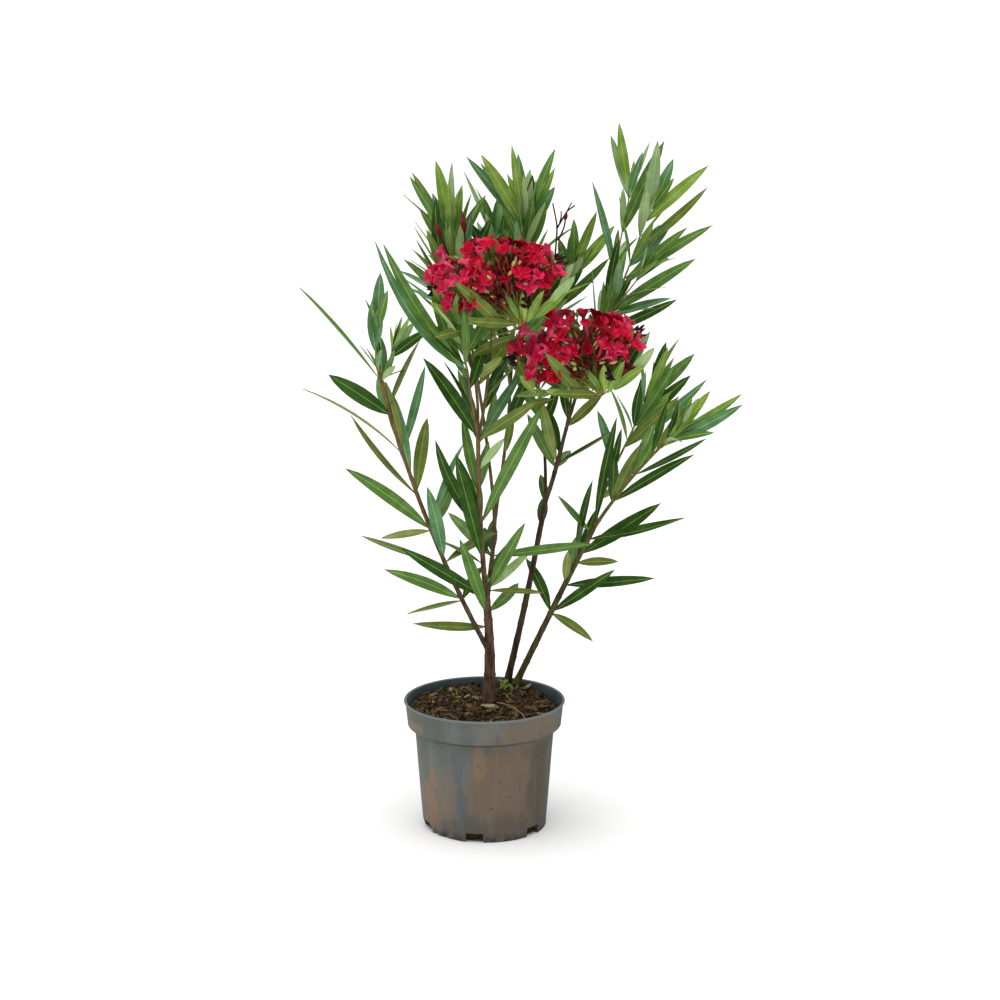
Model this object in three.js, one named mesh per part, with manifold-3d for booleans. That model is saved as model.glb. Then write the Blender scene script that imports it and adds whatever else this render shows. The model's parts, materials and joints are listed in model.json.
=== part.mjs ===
// A potted oleander: a clump of three stems that fork into leafy shoots, two flower heads,
// and the round nursery pot that the clump grows in.
// Millimetres, +Z up. The origin is the middle of the pot's flat underside.
import * as THREE from "three";
import { mergeVertices } from "three/addons/utils/BufferGeometryUtils.js";
import Module from "manifold-3d";

const wasm = await Module();
wasm.setup();

// ---------------------------------------------------------------- driving dimensions

const CLEARANCE = 0.3; // left between two pieces that touch
const ROUND_SIDES = 24; // sides of the pot and the soil
const WELD = 0.001; // vertices closer than this are one

const POT = {
  height: 178,
  baseRadius: 84.5,
  baseChamfer: 2,
  wallTopRadius: 95,
  collarBottom: 143,
  collarRadius: 105,
  rimRadius: 110,
  wall: 2.2,
  floor: 2.8,
};

// Where the wall turns out into the collar: the heights and widths of its rounded corners.
const SHOULDER = { below: 4, corner: 2, rise: 1.5, out: 3.5 };

// The lip that stands out round the rim, with rounded edges.
const LIP = { height: 5, proud: 3, round: 1.4, wall: 3.6 };

// Drain notches through the bottom corner of the pot.
const NOTCH = { count: 6, first: -9, width: 23, height: 9, depth: 9 };

// The compost lies higher at the back and left, and is heaped round the stems.
const SOIL = { level: 163, riseToBack: 0.045, riseToLeft: 0.035, rings: 3, inset: 0.7 };
const BUMPS = { height: 1.6, along: 9, across: 11 };
const HEAP_SPREAD = 26;
const SOCKET = { sink: 5, margin: 1.4, height: 40 };

// The root flare: how much wider a stem is at its foot, and how quickly that fades.
const FLARE = { extra: 0.45, height: 11 };
const STEM_SIDES = 8;
const BRANCH_SIDES = 6;
const MM_PER_RING = 50;

// Stems stand on the compost, at `foot`. Boughs and branches grow from another limb, `at` a share
// of its length. `reach` goes from a limb's start to its end, `bow` is how far its middle stands
// off that line, and `girth` is its radius at each end.
const LIMBS = [
  {
    name: "main_stem", foot: [6, 15, 169],
    reach: [-3, -7, 148], bow: [3, 0, 0], girth: [7.4, 5.4],
  },
  {
    name: "middle_stem", foot: [31, 81, 176],
    reach: [53, -27, 270], bow: [2, 0, 0], girth: [4.7, 3.4],
  },
  {
    name: "right_stem", foot: [42, 74, 174],
    reach: [108, -18, 231], bow: [-1, 0, 0], girth: [3.9, 3],
  },
  {
    name: "left_bough", on: "main_stem", at: 0.47,
    reach: [-144, -90, 405], bow: [-12, 4, -6], girth: [4, 2.2],
  },
  {
    name: "front_bough", on: "main_stem", at: 0.98,
    reach: [-11, -52, 240], bow: [-3, 0, 0], girth: [4.2, 2.8],
  },
  {
    name: "rear_bough", on: "main_stem", at: 0.98,
    reach: [11, 36, 109], bow: [2, 6, 0], girth: [3.8, 3.2],
  },
  {
    name: "front_left_branch", on: "front_bough", at: 0.99,
    reach: [-14, -38, 96], bow: [-1, 0, 0], girth: [2.3, 1.9],
  },
  {
    name: "front_middle_branch", on: "front_bough", at: 0.99,
    reach: [-18, -6, 137], bow: [7, -4, 0], girth: [2.4, 1.8],
  },
  {
    name: "front_flower_branch", on: "front_bough", at: 0.95,
    reach: [18, -36, 206], bow: [6, 10, 0], girth: [2.3, 1.7],
  },
  {
    name: "rear_left_branch", on: "rear_bough", at: 0.99,
    reach: [-33, 50, 235], bow: [3, 4, 0], girth: [2.6, 1.9],
  },
  {
    name: "rear_right_branch", on: "rear_bough", at: 0.99,
    reach: [24, 74, 231], bow: [5, 2, 0], girth: [2.6, 1.9],
  },
  {
    name: "middle_rear_branch", on: "middle_stem", at: 0.99,
    reach: [-8, 70, 127], bow: [3, 6, 0], girth: [2.5, 1.9],
  },
  {
    name: "middle_front_branch", on: "middle_stem", at: 0.99,
    reach: [16, -18, 58], bow: [1, 0, 0], girth: [3, 2.7],
  },
  {
    name: "upper_right_bough", on: "middle_front_branch", at: 0.98,
    reach: [71, 24, 202], bow: [-5, 0, 6], girth: [2.7, 2],
  },
  {
    name: "right_flower_branch", on: "middle_front_branch", at: 0.98,
    reach: [20, -76, 150], bow: [4, -6, 0], girth: [2.3, 1.7],
  },
  {
    name: "right_rear_branch", on: "right_stem", at: 0.99,
    reach: [44, 62, 101], bow: [-4, 4, 0], girth: [2.4, 1.8],
  },
  {
    name: "right_front_branch", on: "right_stem", at: 0.99,
    reach: [90, -92, 138], bow: [-4, -4, 3], girth: [2.5, 1.8],
  },
];

// Foliage. Leaves stand in whorls of three, each whorl turned half a step from the one below.
// A shoot's leaves run from its foot to its tip: `leaf` is their length there, `spread` their
// angle from the shoot, in degrees, and `turn` the heading of the first leaf.
const LEAF = { width: 16, thickness: 5, widest: 0.42 };
const SECTION = { sides: 3, width: Math.sqrt(3), height: 1.5 }; // a leaf's triangle, of radius 1
const LEAVES_PER_WHORL = 3;
const JITTER = { turn: 12, spread: 6, length: 0.1 };
const SEED_STEP = { leaf: 5, whorl: 17 }; // gives each leaf and each whorl a jitter of its own
const TURNS_ASIDE = [0, 15, -15, 30, -30, 45, -45];

// A shoot's leaves are joined by its core, which carries them over the `leafy` shares of its
// length. A whorl on bare wood is joined by a collar round the limb.
const CORE = { foot: 1.8, swell: 5, thickest: 0.8, sides: 4, leafy: [0.12, 0.96] };
const CROWDING = 0.75; // under 1, whorls stand closer together towards a shoot's tip
const COLLAR = { height: 9, wall: 3 };

const SHOOTS = [
  {
    name: "left_outer_shoot", on: "left_bough", reach: [-3, -6, 50], bow: [-2, 0, 0],
    whorls: 3, leaf: [78, 82], spread: [36, 12], turn: 180,
  },
  {
    name: "left_inner_shoot", on: "left_bough", at: 0.97, reach: [14, 16, 38], bow: [1, 0, 0],
    whorls: 3, leaf: [70, 64], spread: [40, 16], turn: 30,
  },
  {
    name: "front_left_shoot", on: "front_left_branch", reach: [-9, -16, 56], bow: [-1, 0, 0],
    whorls: 3, leaf: [150, 120], spread: [32, 14], turn: 170,
  },
  {
    name: "front_middle_shoot", on: "front_middle_branch", reach: [-20, 34, 68], bow: [0, 0, 0],
    whorls: 4, leaf: [110, 110], spread: [42, 18], turn: 150,
  },
  {
    name: "rear_left_shoot", on: "rear_left_branch", reach: [-26, 10, 138], bow: [0, 0, 0],
    whorls: 5, leaf: [122, 112], spread: [44, 14], turn: 175,
  },
  {
    name: "rear_middle_shoot", on: "rear_right_branch", at: 0.72, reach: [-16, 44, 190], bow: [-3, 2, 0],
    whorls: 5, leaf: [118, 108], spread: [42, 16], turn: 60,
  },
  {
    name: "rear_right_shoot", on: "rear_right_branch", reach: [18, -24, 156], bow: [3, 0, 0],
    whorls: 5, leaf: [118, 110], spread: [44, 14], turn: 10,
  },
  {
    name: "middle_rear_shoot", on: "middle_rear_branch", reach: [-4, 40, 104], bow: [0, 0, 0],
    whorls: 4, leaf: [112, 108], spread: [46, 18], turn: 90,
  },
  {
    name: "upper_right_shoot", on: "upper_right_bough", reach: [50, 0, 138], bow: [2, 0, 0],
    whorls: 6, leaf: [126, 108], spread: [38, 14], turn: 0,
  },
  {
    name: "upper_inner_shoot", on: "upper_right_bough", at: 0.8, reach: [26, 84, 190], bow: [-6, 4, 0],
    whorls: 5, leaf: [114, 104], spread: [36, 12], turn: 120,
  },
  {
    name: "upper_low_shoot", on: "upper_right_bough", at: 0.96, reach: [38, -30, 56], bow: [0, 0, 0],
    whorls: 3, leaf: [104, 92], spread: [38, 16], turn: 330,
  },
  {
    name: "right_rear_shoot", on: "right_rear_branch", reach: [38, 32, 80], bow: [0, 0, -3],
    whorls: 5, leaf: [116, 108], spread: [36, 14], turn: 60,
  },
  {
    name: "right_front_shoot", on: "right_front_branch", reach: [36, -30, 49], bow: [0, 0, -2],
    whorls: 4, leaf: [118, 98], spread: [36, 14], turn: 20,
  },
];

// Single whorls of older leaves on the bare wood, `at` a share of the limb's length. Each leaf has
// a lean from upright, to the right, and a turn towards the front, in degrees, then its length.
const WHORLS = [
  {
    name: "main_stem_whorl", on: "main_stem", at: 0.87,
    leaves: [[-87, 10, 95], [-16, 15, 110], [64, -50, 90]],
  },
  {
    name: "left_lowest_whorl", on: "left_bough", at: 0.19,
    leaves: [[-103, 10, 75], [-64, 15, 110], [30, -55, 80]],
  },
  {
    name: "left_low_whorl", on: "left_bough", at: 0.33,
    leaves: [[-73, -20, 122], [58, -25, 98], [-14, 20, 105]],
  },
  {
    name: "left_second_whorl", on: "left_bough", at: 0.455,
    leaves: [[-95, 10, 68], [-56, 10, 130], [34, -60, 95]],
  },
  {
    name: "left_third_whorl", on: "left_bough", at: 0.58,
    leaves: [[-42, -15, 138], [-11, 20, 130], [9, -30, 110]],
  },
  {
    name: "left_fourth_whorl", on: "left_bough", at: 0.72,
    leaves: [[-54, 10, 160], [-12, 25, 112], [19, -20, 110]],
  },
  {
    name: "left_fifth_whorl", on: "left_bough", at: 0.85,
    leaves: [[-57, 15, 97], [23, -15, 96], [-30, -60, 90]],
  },
  {
    name: "left_top_whorl", on: "left_bough", at: 0.935,
    leaves: [[-38, 5, 158], [53, 12, 90], [0, -60, 80]],
  },
  {
    name: "front_lowest_whorl", on: "front_bough", at: 0.08,
    leaves: [[-55, 20, 142], [44, -60, 100]],
  },
  {
    name: "front_low_whorl", on: "front_bough", at: 0.25,
    leaves: [[-58, 5, 72], [-12, 20, 150], [50, -55, 100]],
  },
  {
    name: "front_middle_whorl", on: "front_bough", at: 0.475,
    leaves: [[-23, 25, 132], [24, 20, 170], [-14, -60, 110]],
  },
  {
    name: "front_upper_whorl", on: "front_bough", at: 0.67,
    leaves: [[-18, -15, 112], [48, 25, 70]],
  },
  {
    name: "front_top_whorl", on: "front_bough", at: 0.9,
    leaves: [[-32, 15, 125], [57, 30, 118], [30, -20, 112]],
  },
  {
    name: "front_left_whorl", on: "front_left_branch", at: 0.86,
    leaves: [[-44, 6, 190], [-30, 14, 180], [-16, -12, 165]],
  },
  {
    name: "rear_low_whorl", on: "rear_bough", at: 0.24,
    leaves: [[83, 10, 74], [26, 15, 108], [55, -25, 76]],
  },
  {
    name: "rear_middle_whorl", on: "rear_bough", at: 0.52,
    leaves: [[80, 15, 145], [-50, -45, 105]],
  },
  {
    name: "middle_stem_whorl", on: "middle_stem", at: 0.88,
    leaves: [[-8, 30, 95], [16, -50, 100]],
  },
  {
    name: "middle_top_whorl", on: "middle_front_branch", at: 0.42,
    leaves: [[63, 15, 96], [-17, 25, 108], [-35, -45, 100], [34, 30, 112]],
  },
  {
    name: "right_low_whorl", on: "right_stem", at: 0.47,
    leaves: [[117, 10, 68], [-18, -10, 80], [50, 15, 105]],
  },
  {
    name: "right_second_whorl", on: "right_stem", at: 0.65,
    leaves: [[78, 5, 122], [4, 20, 50], [20, -60, 90]],
  },
  {
    name: "right_third_whorl", on: "right_stem", at: 0.79,
    leaves: [[75, 15, 58], [26, -20, 76], [6, 6, 120]],
  },
  {
    name: "right_top_whorl", on: "right_stem", at: 0.93,
    leaves: [[56, -15, 122], [82, 10, 132], [-46, 10, 72]],
  },
  {
    name: "right_inner_whorl", on: "right_rear_branch", at: 0.42,
    leaves: [[10, -10, 138], [62, 20, 56], [-14, -40, 86]],
  },
  {
    name: "right_branch_whorl", on: "right_front_branch", at: 0.3,
    leaves: [[29, 20, 84], [52, -10, 122], [10, -60, 90]],
  },
  {
    name: "right_outer_whorl", on: "right_front_branch", at: 0.6,
    leaves: [[60, 5, 104], [24, 30, 90], [30, -50, 100]],
  },
];

// Flower heads: shallow uneven domes of blossom, `off` from the tip of the branch that carries them.
const FLOWER_HEADS = [
  { name: "left_flower_head", on: "front_flower_branch", off: [2, -4, 19], size: [97, 72, 50], seed: 3 },
  { name: "right_flower_head", on: "right_flower_branch", off: [-1, -7, 17], size: [97, 72, 50], seed: 8 },
];

const HEAD = { around: 12, high: 7, lumps: 0.1, waves: 4.5, underside: 0.5 };

const FINISH = {
  pot: { color: 0x5d666c, roughness: 0.6 },
  soil: { color: 0x2e2118, roughness: 0.95 },
  bark: { color: 0x4a3a34, roughness: 0.8 },
  leaf: { color: 0x3f6b2f, roughness: 0.5 },
  blossom: { color: 0xc81e4a, roughness: 0.6 },
};

// ---------------------------------------------------------------- small helpers

const vector = (xyz) => new THREE.Vector3(...xyz);
const radians = THREE.MathUtils.degToRad;
const lerp = THREE.MathUtils.lerp;

// A repeatable number from -1 to 1 for each seed.
function uneven(seed) {
  const wave = Math.sin(seed * 12.9898) * 43758.5453;
  return 2 * (wave - Math.floor(wave)) - 1;
}

function solidOf(geometry) {
  const bare = geometry.clone();
  bare.deleteAttribute("normal");
  bare.deleteAttribute("uv");
  const merged = mergeVertices(bare, WELD);
  return new wasm.Manifold(
    new wasm.Mesh({
      numProp: 3,
      vertProperties: new Float32Array(merged.attributes.position.array),
      triVerts: new Uint32Array(merged.index.array),
    }),
  );
}

function geometryOf(solid) {
  const { vertProperties, triVerts } = solid.getMesh();
  const geometry = new THREE.BufferGeometry();
  geometry.setAttribute("position", new THREE.BufferAttribute(vertProperties, 3));
  geometry.setIndex(new THREE.BufferAttribute(triVerts, 1));
  const flat = geometry.toNonIndexed();
  flat.computeVertexNormals();
  return flat;
}

// Moves each vertex of a geometry to where `place` puts it.
function reshape(geometry, place) {
  const position = geometry.attributes.position;
  const point = new THREE.Vector3();
  for (let i = 0; i < position.count; i++) {
    point.fromBufferAttribute(position, i);
    position.setXYZ(i, ...place(point).toArray());
  }
  return geometry;
}

// ---------------------------------------------------------------- pot

// The pot's profile from the middle of the underside, up the outside and down the inside.
function potProfile() {
  const p = POT;
  const innerBase = p.baseRadius - p.wall;
  const innerTop = p.wallTopRadius - p.wall;
  const innerCollar = p.collarRadius - p.wall;
  const wallTop = p.collarBottom - SHOULDER.below;
  const lipBottom = p.height - LIP.height;
  return [
    [0, 0],
    [p.baseRadius - p.baseChamfer, 0],
    [p.baseRadius, p.baseChamfer],
    [p.wallTopRadius, wallTop],
    [p.wallTopRadius + SHOULDER.out, p.collarBottom - SHOULDER.rise],
    [p.collarRadius - SHOULDER.corner, p.collarBottom],
    [p.collarRadius, p.collarBottom + SHOULDER.corner],
    [p.rimRadius - LIP.proud, lipBottom],
    [p.rimRadius, lipBottom + LIP.round],
    [p.rimRadius, p.height - LIP.round],
    [p.rimRadius - LIP.round, p.height],
    [p.rimRadius - LIP.wall, p.height - LIP.round / 2],
    [innerCollar, p.collarBottom + SHOULDER.corner + p.wall / 2],
    [innerCollar - SHOULDER.corner, p.collarBottom + p.wall / 3],
    [innerTop + SHOULDER.rise, p.collarBottom - p.wall],
    [innerTop, wallTop - p.wall / 2],
    [innerBase, p.floor],
    [0, p.floor],
  ];
}

// A lathe turns about Y, so its result is laid over to stand on Z.
function turned(profile) {
  const points = profile.map(([radius, height]) => new THREE.Vector2(radius, height));
  return new THREE.LatheGeometry(points, ROUND_SIDES).rotateX(Math.PI / 2);
}

function makePot() {
  let pot = solidOf(turned(potProfile()));
  const reach = 2 * NOTCH.depth;
  for (let k = 0; k < NOTCH.count; k++) {
    const cutter = new THREE.BoxGeometry(NOTCH.width, reach, 2 * NOTCH.height);
    cutter.translate(0, -(POT.baseRadius - NOTCH.depth + reach / 2), 0);
    cutter.rotateZ(radians(NOTCH.first + (360 * k) / NOTCH.count));
    pot = pot.subtract(solidOf(cutter));
  }
  return pot;
}

// ---------------------------------------------------------------- soil

const FEET = LIMBS.filter((limb) => limb.foot);

function soilHeight(x, y) {
  let height = SOIL.level + SOIL.riseToBack * y - SOIL.riseToLeft * x;
  height += BUMPS.height * Math.sin(x / BUMPS.along) * Math.cos(y / BUMPS.across);
  for (const { foot } of FEET) {
    const away = Math.hypot(x - foot[0], y - foot[1]) / HEAP_SPREAD;
    const wanted = foot[2] + SOCKET.sink;
    const pull = Math.exp(-away * away);
    height = lerp(height, Math.max(height, wanted), pull);
  }
  return height;
}

// The compost fills the pot's inside. Its top is a disc of rings that follow soilHeight.
function makeSoil() {
  const gap = POT.wall + SOIL.inset;
  const innerTop = POT.wallTopRadius - gap;
  const innerCollar = POT.collarRadius - gap;
  const profile = [
    [0, POT.floor + CLEARANCE],
    [POT.baseRadius - gap, POT.floor + CLEARANCE],
    [innerTop, POT.collarBottom - SHOULDER.below - POT.wall / 2],
    [innerTop + SHOULDER.rise, POT.collarBottom - POT.wall + CLEARANCE],
    [innerCollar - SHOULDER.corner, POT.collarBottom + POT.wall / 3 + CLEARANCE],
    [innerCollar, POT.collarBottom + SHOULDER.corner + POT.wall / 2 + CLEARANCE],
  ];
  for (let ring = SOIL.rings; ring >= 0; ring--) {
    profile.push([(innerCollar * ring) / SOIL.rings, SOIL.level]);
  }
  const body = reshape(turned(profile), (point) => {
    if (point.z === SOIL.level) point.z = soilHeight(point.x, point.y);
    return point;
  });
  let soil = solidOf(body);
  for (const { foot, girth } of FEET) {
    const radius = girth[0] * (1 + FLARE.extra) + SOCKET.margin;
    const socket = new THREE.CylinderGeometry(radius, radius, SOCKET.height, 2 * STEM_SIDES);
    socket.rotateX(Math.PI / 2).translate(foot[0], foot[1], foot[2] - CLEARANCE + SOCKET.height / 2);
    soil = soil.subtract(solidOf(socket));
  }
  return soil;
}

// ---------------------------------------------------------------- limbs

const curves = new Map();

// The middle line of a limb or shoot: it passes `bow` off the middle of the line from end to end.
function centreLine(row) {
  const start = row.foot ? vector(row.foot) : curves.get(row.on).getPoint(row.at ?? 1);
  const end = start.clone().add(vector(row.reach));
  const middle = start.clone().lerp(end, 0.5).addScaledVector(vector(row.bow), 2);
  return new THREE.QuadraticBezierCurve3(start, middle, end);
}

// Two directions across a line at one place, and the direction along it.
function frameAt(curve, share) {
  const along = curve.getTangent(share);
  const right = new THREE.Vector3(0, 1, 0).cross(along).normalize();
  const back = along.clone().cross(right).normalize();
  return { along, right, back };
}

// A round bar along a curve: radiusAt gives its radius at each share of its length, and `grow`
// makes it thicker and longer all round.
function barAlong(curve, radiusAt, { sides, rings, grow = 0, flatFoot = false }) {
  const unit = new THREE.CylinderGeometry(1, 1, 1, sides, rings);
  return reshape(unit, (point) => {
    const share = point.y + 0.5;
    const isFoot = share < WELD;
    const isTip = share > 1 - WELD;
    const { along, right, back } = frameAt(curve, share);
    if (flatFoot && isFoot) {
      along.set(0, 0, 1);
      right.set(1, 0, 0);
      back.set(0, 1, 0);
    }
    const radius = radiusAt(share) + grow;
    return curve
      .getPoint(share)
      .addScaledVector(along, isTip ? grow : isFoot ? -grow : 0)
      .addScaledVector(right, point.x * radius)
      .addScaledVector(back, -point.z * radius);
  });
}

const sidesOf = (row) => (row.foot ? STEM_SIDES : BRANCH_SIDES);

function limbRadius(row, length, share) {
  const radius = lerp(row.girth[0], row.girth[1], share);
  const flare = row.foot ? FLARE.extra * Math.exp((-share * length) / FLARE.height) : 0;
  return radius * (1 + flare);
}

function makeLimb(row, grow = 0) {
  const curve = curves.get(row.name);
  const length = curve.getLength();
  const rings = Math.max(2, Math.round(length / MM_PER_RING));
  const shape = { sides: sidesOf(row), rings, grow, flatFoot: Boolean(row.foot) };
  return solidOf(barAlong(curve, (share) => limbRadius(row, length, share), shape));
}

// ---------------------------------------------------------------- foliage

// One leaf's place: it starts at `base` on a limb's middle line and points along `direction`.
function leafPlace(base, direction, length) {
  const across = new THREE.Vector3(0, 0, 1).cross(direction).normalize();
  const over = across.clone().cross(direction).normalize();
  return { base, direction, across, over, length };
}

// A leaf as a thin three-sided blade, pointed at both ends, with its keel underneath.
function makeBlade(leaf, grow = 0) {
  const { base, direction, across, over, length } = leaf;
  const outline = [[0, 0], [1, LEAF.widest], [0, 1]].map((point) => new THREE.Vector2(...point));
  const unit = new THREE.LatheGeometry(outline, SECTION.sides, Math.PI);
  return solidOf(
    reshape(unit, (point) =>
      base
        .clone()
        .addScaledVector(direction, point.y * (length + grow))
        .addScaledVector(across, point.x * (LEAF.width / SECTION.width + grow))
        .addScaledVector(over, point.z * (LEAF.thickness / SECTION.height + grow)),
    ),
  );
}

// Where leaf k of a shoot's whorl points, and its length.
function shootLeaf({ along, right, back }, whorl, k) {
  const seed = whorl.seed + SEED_STEP.leaf * k;
  const heading = radians(whorl.turn + (360 * k) / LEAVES_PER_WHORL + JITTER.turn * uneven(seed));
  const angle = radians(whorl.spread + JITTER.spread * uneven(seed + 1));
  const outward = right.clone().multiplyScalar(Math.cos(heading)).addScaledVector(back, Math.sin(heading));
  const direction = along.clone().multiplyScalar(Math.cos(angle)).addScaledVector(outward, Math.sin(angle));
  return { direction, length: whorl.length * (1 + JITTER.length * uneven(seed + 2)) };
}

// Where an old leaf points, by its lean from upright, to the right, and its turn to the front.
function oldLeaf([lean, toward, length]) {
  const [aside, ahead] = [radians(lean), radians(toward)];
  const level = Math.cos(ahead);
  const direction = new THREE.Vector3(Math.sin(aside) * level, -Math.sin(ahead), Math.cos(aside) * level);
  return { direction, length };
}

const solids = []; // every piece made so far
const shootCores = []; // the room that each shoot's core needs

// Joins leaves to a mass, `radius` off the middle of a limb. A leaf that would cross another piece
// is turned aside, and one that has no free place isn't grown.
function addLeaves(mass, curve, share, radius, leaves, own) {
  const others = solids.concat(shootCores).filter((other) => !own.includes(other.name));
  const { along } = frameAt(curve, share);
  let grown = mass;
  for (const { direction, length } of leaves) {
    for (const extra of TURNS_ASIDE) {
      const turned = direction.clone().applyAxisAngle(along, radians(extra));
      const outward = turned.clone().addScaledVector(along, -turned.dot(along)).normalize();
      const base = curve.getPoint(share).addScaledVector(outward, radius);
      const leaf = leafPlace(base, turned, length);
      const room = makeBlade(leaf, 2 * CLEARANCE);
      if (others.some((other) => !room.intersect(other.solid).isEmpty())) continue;
      grown = grown.add(makeBlade(leaf));
      break;
    }
  }
  return grown;
}

function makeCore(row, grow = 0) {
  const swell = (share) => CORE.foot + CORE.swell * Math.sin(Math.PI * share ** CORE.thickest);
  const shape = { sides: CORE.sides, rings: row.whorls + 1, grow };
  return solidOf(barAlong(curves.get(row.name), swell, shape));
}

// A leafy shoot: whorl over whorl of leaves on a thin uneven core.
function makeShoot(row) {
  const curve = curves.get(row.name);
  let mass = makeCore(row);
  for (let w = 0; w < row.whorls; w++) {
    const rise = w / (row.whorls - 1);
    const share = lerp(...CORE.leafy, rise ** CROWDING);
    const whorl = {
      seed: row.turn + SEED_STEP.whorl * w,
      turn: row.turn + (w * 180) / LEAVES_PER_WHORL,
      spread: lerp(...row.spread, rise),
      length: lerp(...row.leaf, rise),
    };
    const leaves = [...Array(LEAVES_PER_WHORL).keys()].map((k) => shootLeaf(frameAt(curve, share), whorl, k));
    mass = addLeaves(mass, curve, share, CORE.foot / 2, leaves, [row.name, row.on]);
  }
  return mass;
}

// A whorl of old leaves on bare wood: its leaves start from a narrow collar round the limb.
function makeOldWhorl(row) {
  const limb = LIMBS.find((other) => other.name === row.on);
  const curve = curves.get(row.on);
  const length = curve.getLength();
  const half = COLLAR.height / 2 / length;
  const piece = {
    getPoint: (share) => curve.getPoint(row.at + (2 * share - 1) * half),
    getTangent: (share) => curve.getTangent(row.at + (2 * share - 1) * half),
  };
  const radius = limbRadius(limb, length, row.at);
  const shape = { sides: BRANCH_SIDES, rings: 1 };
  const collar = solidOf(barAlong(piece, () => radius + COLLAR.wall, shape));
  return addLeaves(collar, curve, row.at, radius, row.leaves.map(oldLeaf), [row.on]);
}

// A flower head: a shallow dome, lumpy all round, flatter underneath.
function makeFlowerHead(row, grow = 0) {
  const unit = new THREE.SphereGeometry(1, HEAD.around, HEAD.high).rotateX(Math.PI / 2);
  const [wide, deep, high] = row.size;
  const centre = curves.get(row.on).getPoint(1).add(vector(row.off));
  return solidOf(
    reshape(unit, (point) => {
      const wave = Math.sin(HEAD.waves * point.x + row.seed) * Math.cos(HEAD.waves * point.y + row.seed);
      const size = 1 + HEAD.lumps * wave;
      const drop = point.z < 0 ? HEAD.underside : 1;
      point.x *= wide * size + grow;
      point.y *= deep * size + grow;
      point.z *= high * size * drop + grow;
      return point.add(centre);
    }),
  );
}

// ---------------------------------------------------------------- assembly

const plant = new THREE.Group();

// Cuts a piece clear of the pieces that it starts in or rests on.
function clearOf(piece, makers) {
  return makers.reduce((left, make) => left.subtract(make(CLEARANCE)), piece);
}

function add(name, solid, finish) {
  const mesh = new THREE.Mesh(geometryOf(solid), new THREE.MeshStandardMaterial({ metalness: 0, ...finish }));
  mesh.name = name;
  plant.add(mesh);
  solids.push({ name, solid });
}

for (const row of [...LIMBS, ...SHOOTS]) curves.set(row.name, centreLine(row));
for (const row of SHOOTS) shootCores.push({ name: row.name, solid: makeCore(row, 2 * CLEARANCE) });

add("pot", makePot(), FINISH.pot);
add("soil", makeSoil(), FINISH.soil);

const made = [];
for (const row of FLOWER_HEADS) {
  made.push((grow) => makeFlowerHead(row, grow));
  add(row.name, makeFlowerHead(row), FINISH.blossom);
}
for (const row of LIMBS) {
  const touching = made.filter((make) => !makeLimb(row).intersect(make(CLEARANCE)).isEmpty());
  add(row.name, clearOf(makeLimb(row), touching), FINISH.bark);
  made.push((grow) => makeLimb(row, grow));
}
for (const row of WHORLS) {
  const limb = LIMBS.find((other) => other.name === row.on);
  add(row.name, clearOf(makeOldWhorl(row), [(grow) => makeLimb(limb, grow)]), FINISH.leaf);
}
for (const row of SHOOTS) {
  const mass = makeShoot(row);
  const touching = made.filter((make) => !mass.intersect(make(CLEARANCE)).isEmpty());
  add(row.name, clearOf(mass, touching), FINISH.leaf);
  made.push((grow) => makeCore(row, grow));
}

export default plant;
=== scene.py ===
import json
import math
import random
from collections import namedtuple

import bmesh
import bpy
from mathutils import Matrix, Vector, noise
from mathutils.bvhtree import BVHTree

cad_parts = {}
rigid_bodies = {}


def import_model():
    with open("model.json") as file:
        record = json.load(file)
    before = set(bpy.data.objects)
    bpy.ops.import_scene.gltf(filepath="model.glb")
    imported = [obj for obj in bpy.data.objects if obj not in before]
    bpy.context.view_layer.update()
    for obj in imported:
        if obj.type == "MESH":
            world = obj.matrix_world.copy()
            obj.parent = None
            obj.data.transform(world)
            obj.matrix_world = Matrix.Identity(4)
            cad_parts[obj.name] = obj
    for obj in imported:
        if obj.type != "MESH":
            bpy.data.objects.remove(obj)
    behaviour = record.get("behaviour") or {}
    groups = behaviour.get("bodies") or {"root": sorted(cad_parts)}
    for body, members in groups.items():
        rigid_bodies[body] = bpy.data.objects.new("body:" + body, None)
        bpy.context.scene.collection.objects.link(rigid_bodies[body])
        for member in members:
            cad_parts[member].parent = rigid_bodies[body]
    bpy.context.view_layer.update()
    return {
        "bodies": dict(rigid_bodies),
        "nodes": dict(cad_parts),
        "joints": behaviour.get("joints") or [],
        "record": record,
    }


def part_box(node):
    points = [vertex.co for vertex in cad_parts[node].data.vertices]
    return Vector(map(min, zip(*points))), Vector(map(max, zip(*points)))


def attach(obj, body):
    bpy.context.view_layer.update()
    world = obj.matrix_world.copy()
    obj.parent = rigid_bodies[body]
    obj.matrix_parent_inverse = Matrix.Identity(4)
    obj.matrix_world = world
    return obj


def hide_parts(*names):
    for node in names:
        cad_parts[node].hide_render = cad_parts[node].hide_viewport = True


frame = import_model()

MM = 0.001
UP = Vector((0, 0, 1))
FRONT = Vector((0, -1, 0))
NODES = frame["nodes"]

# ---------------------------------------------------------------- camera, floor and light

CAMERA = {"distance": 3.5, "height": 1.23, "aside": 0.0213, "aim": 0.4555, "lens": 96.05, "sensor": 36}
SUN = {"strength": 2.35, "spread": 70, "tilt": 9, "turn": -30}
SKY = 0.66
FLOOR = {"radius": 60, "colour": (0.9, 0.9, 0.9, 1), "roughness": 0.9}


def aim_at(thing, place, target):
    """Puts a camera or a light at a place and turns it to a target."""
    thing.location = place
    thing.rotation_euler = (target - place).to_track_quat("-Z", "Y").to_euler()


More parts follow.
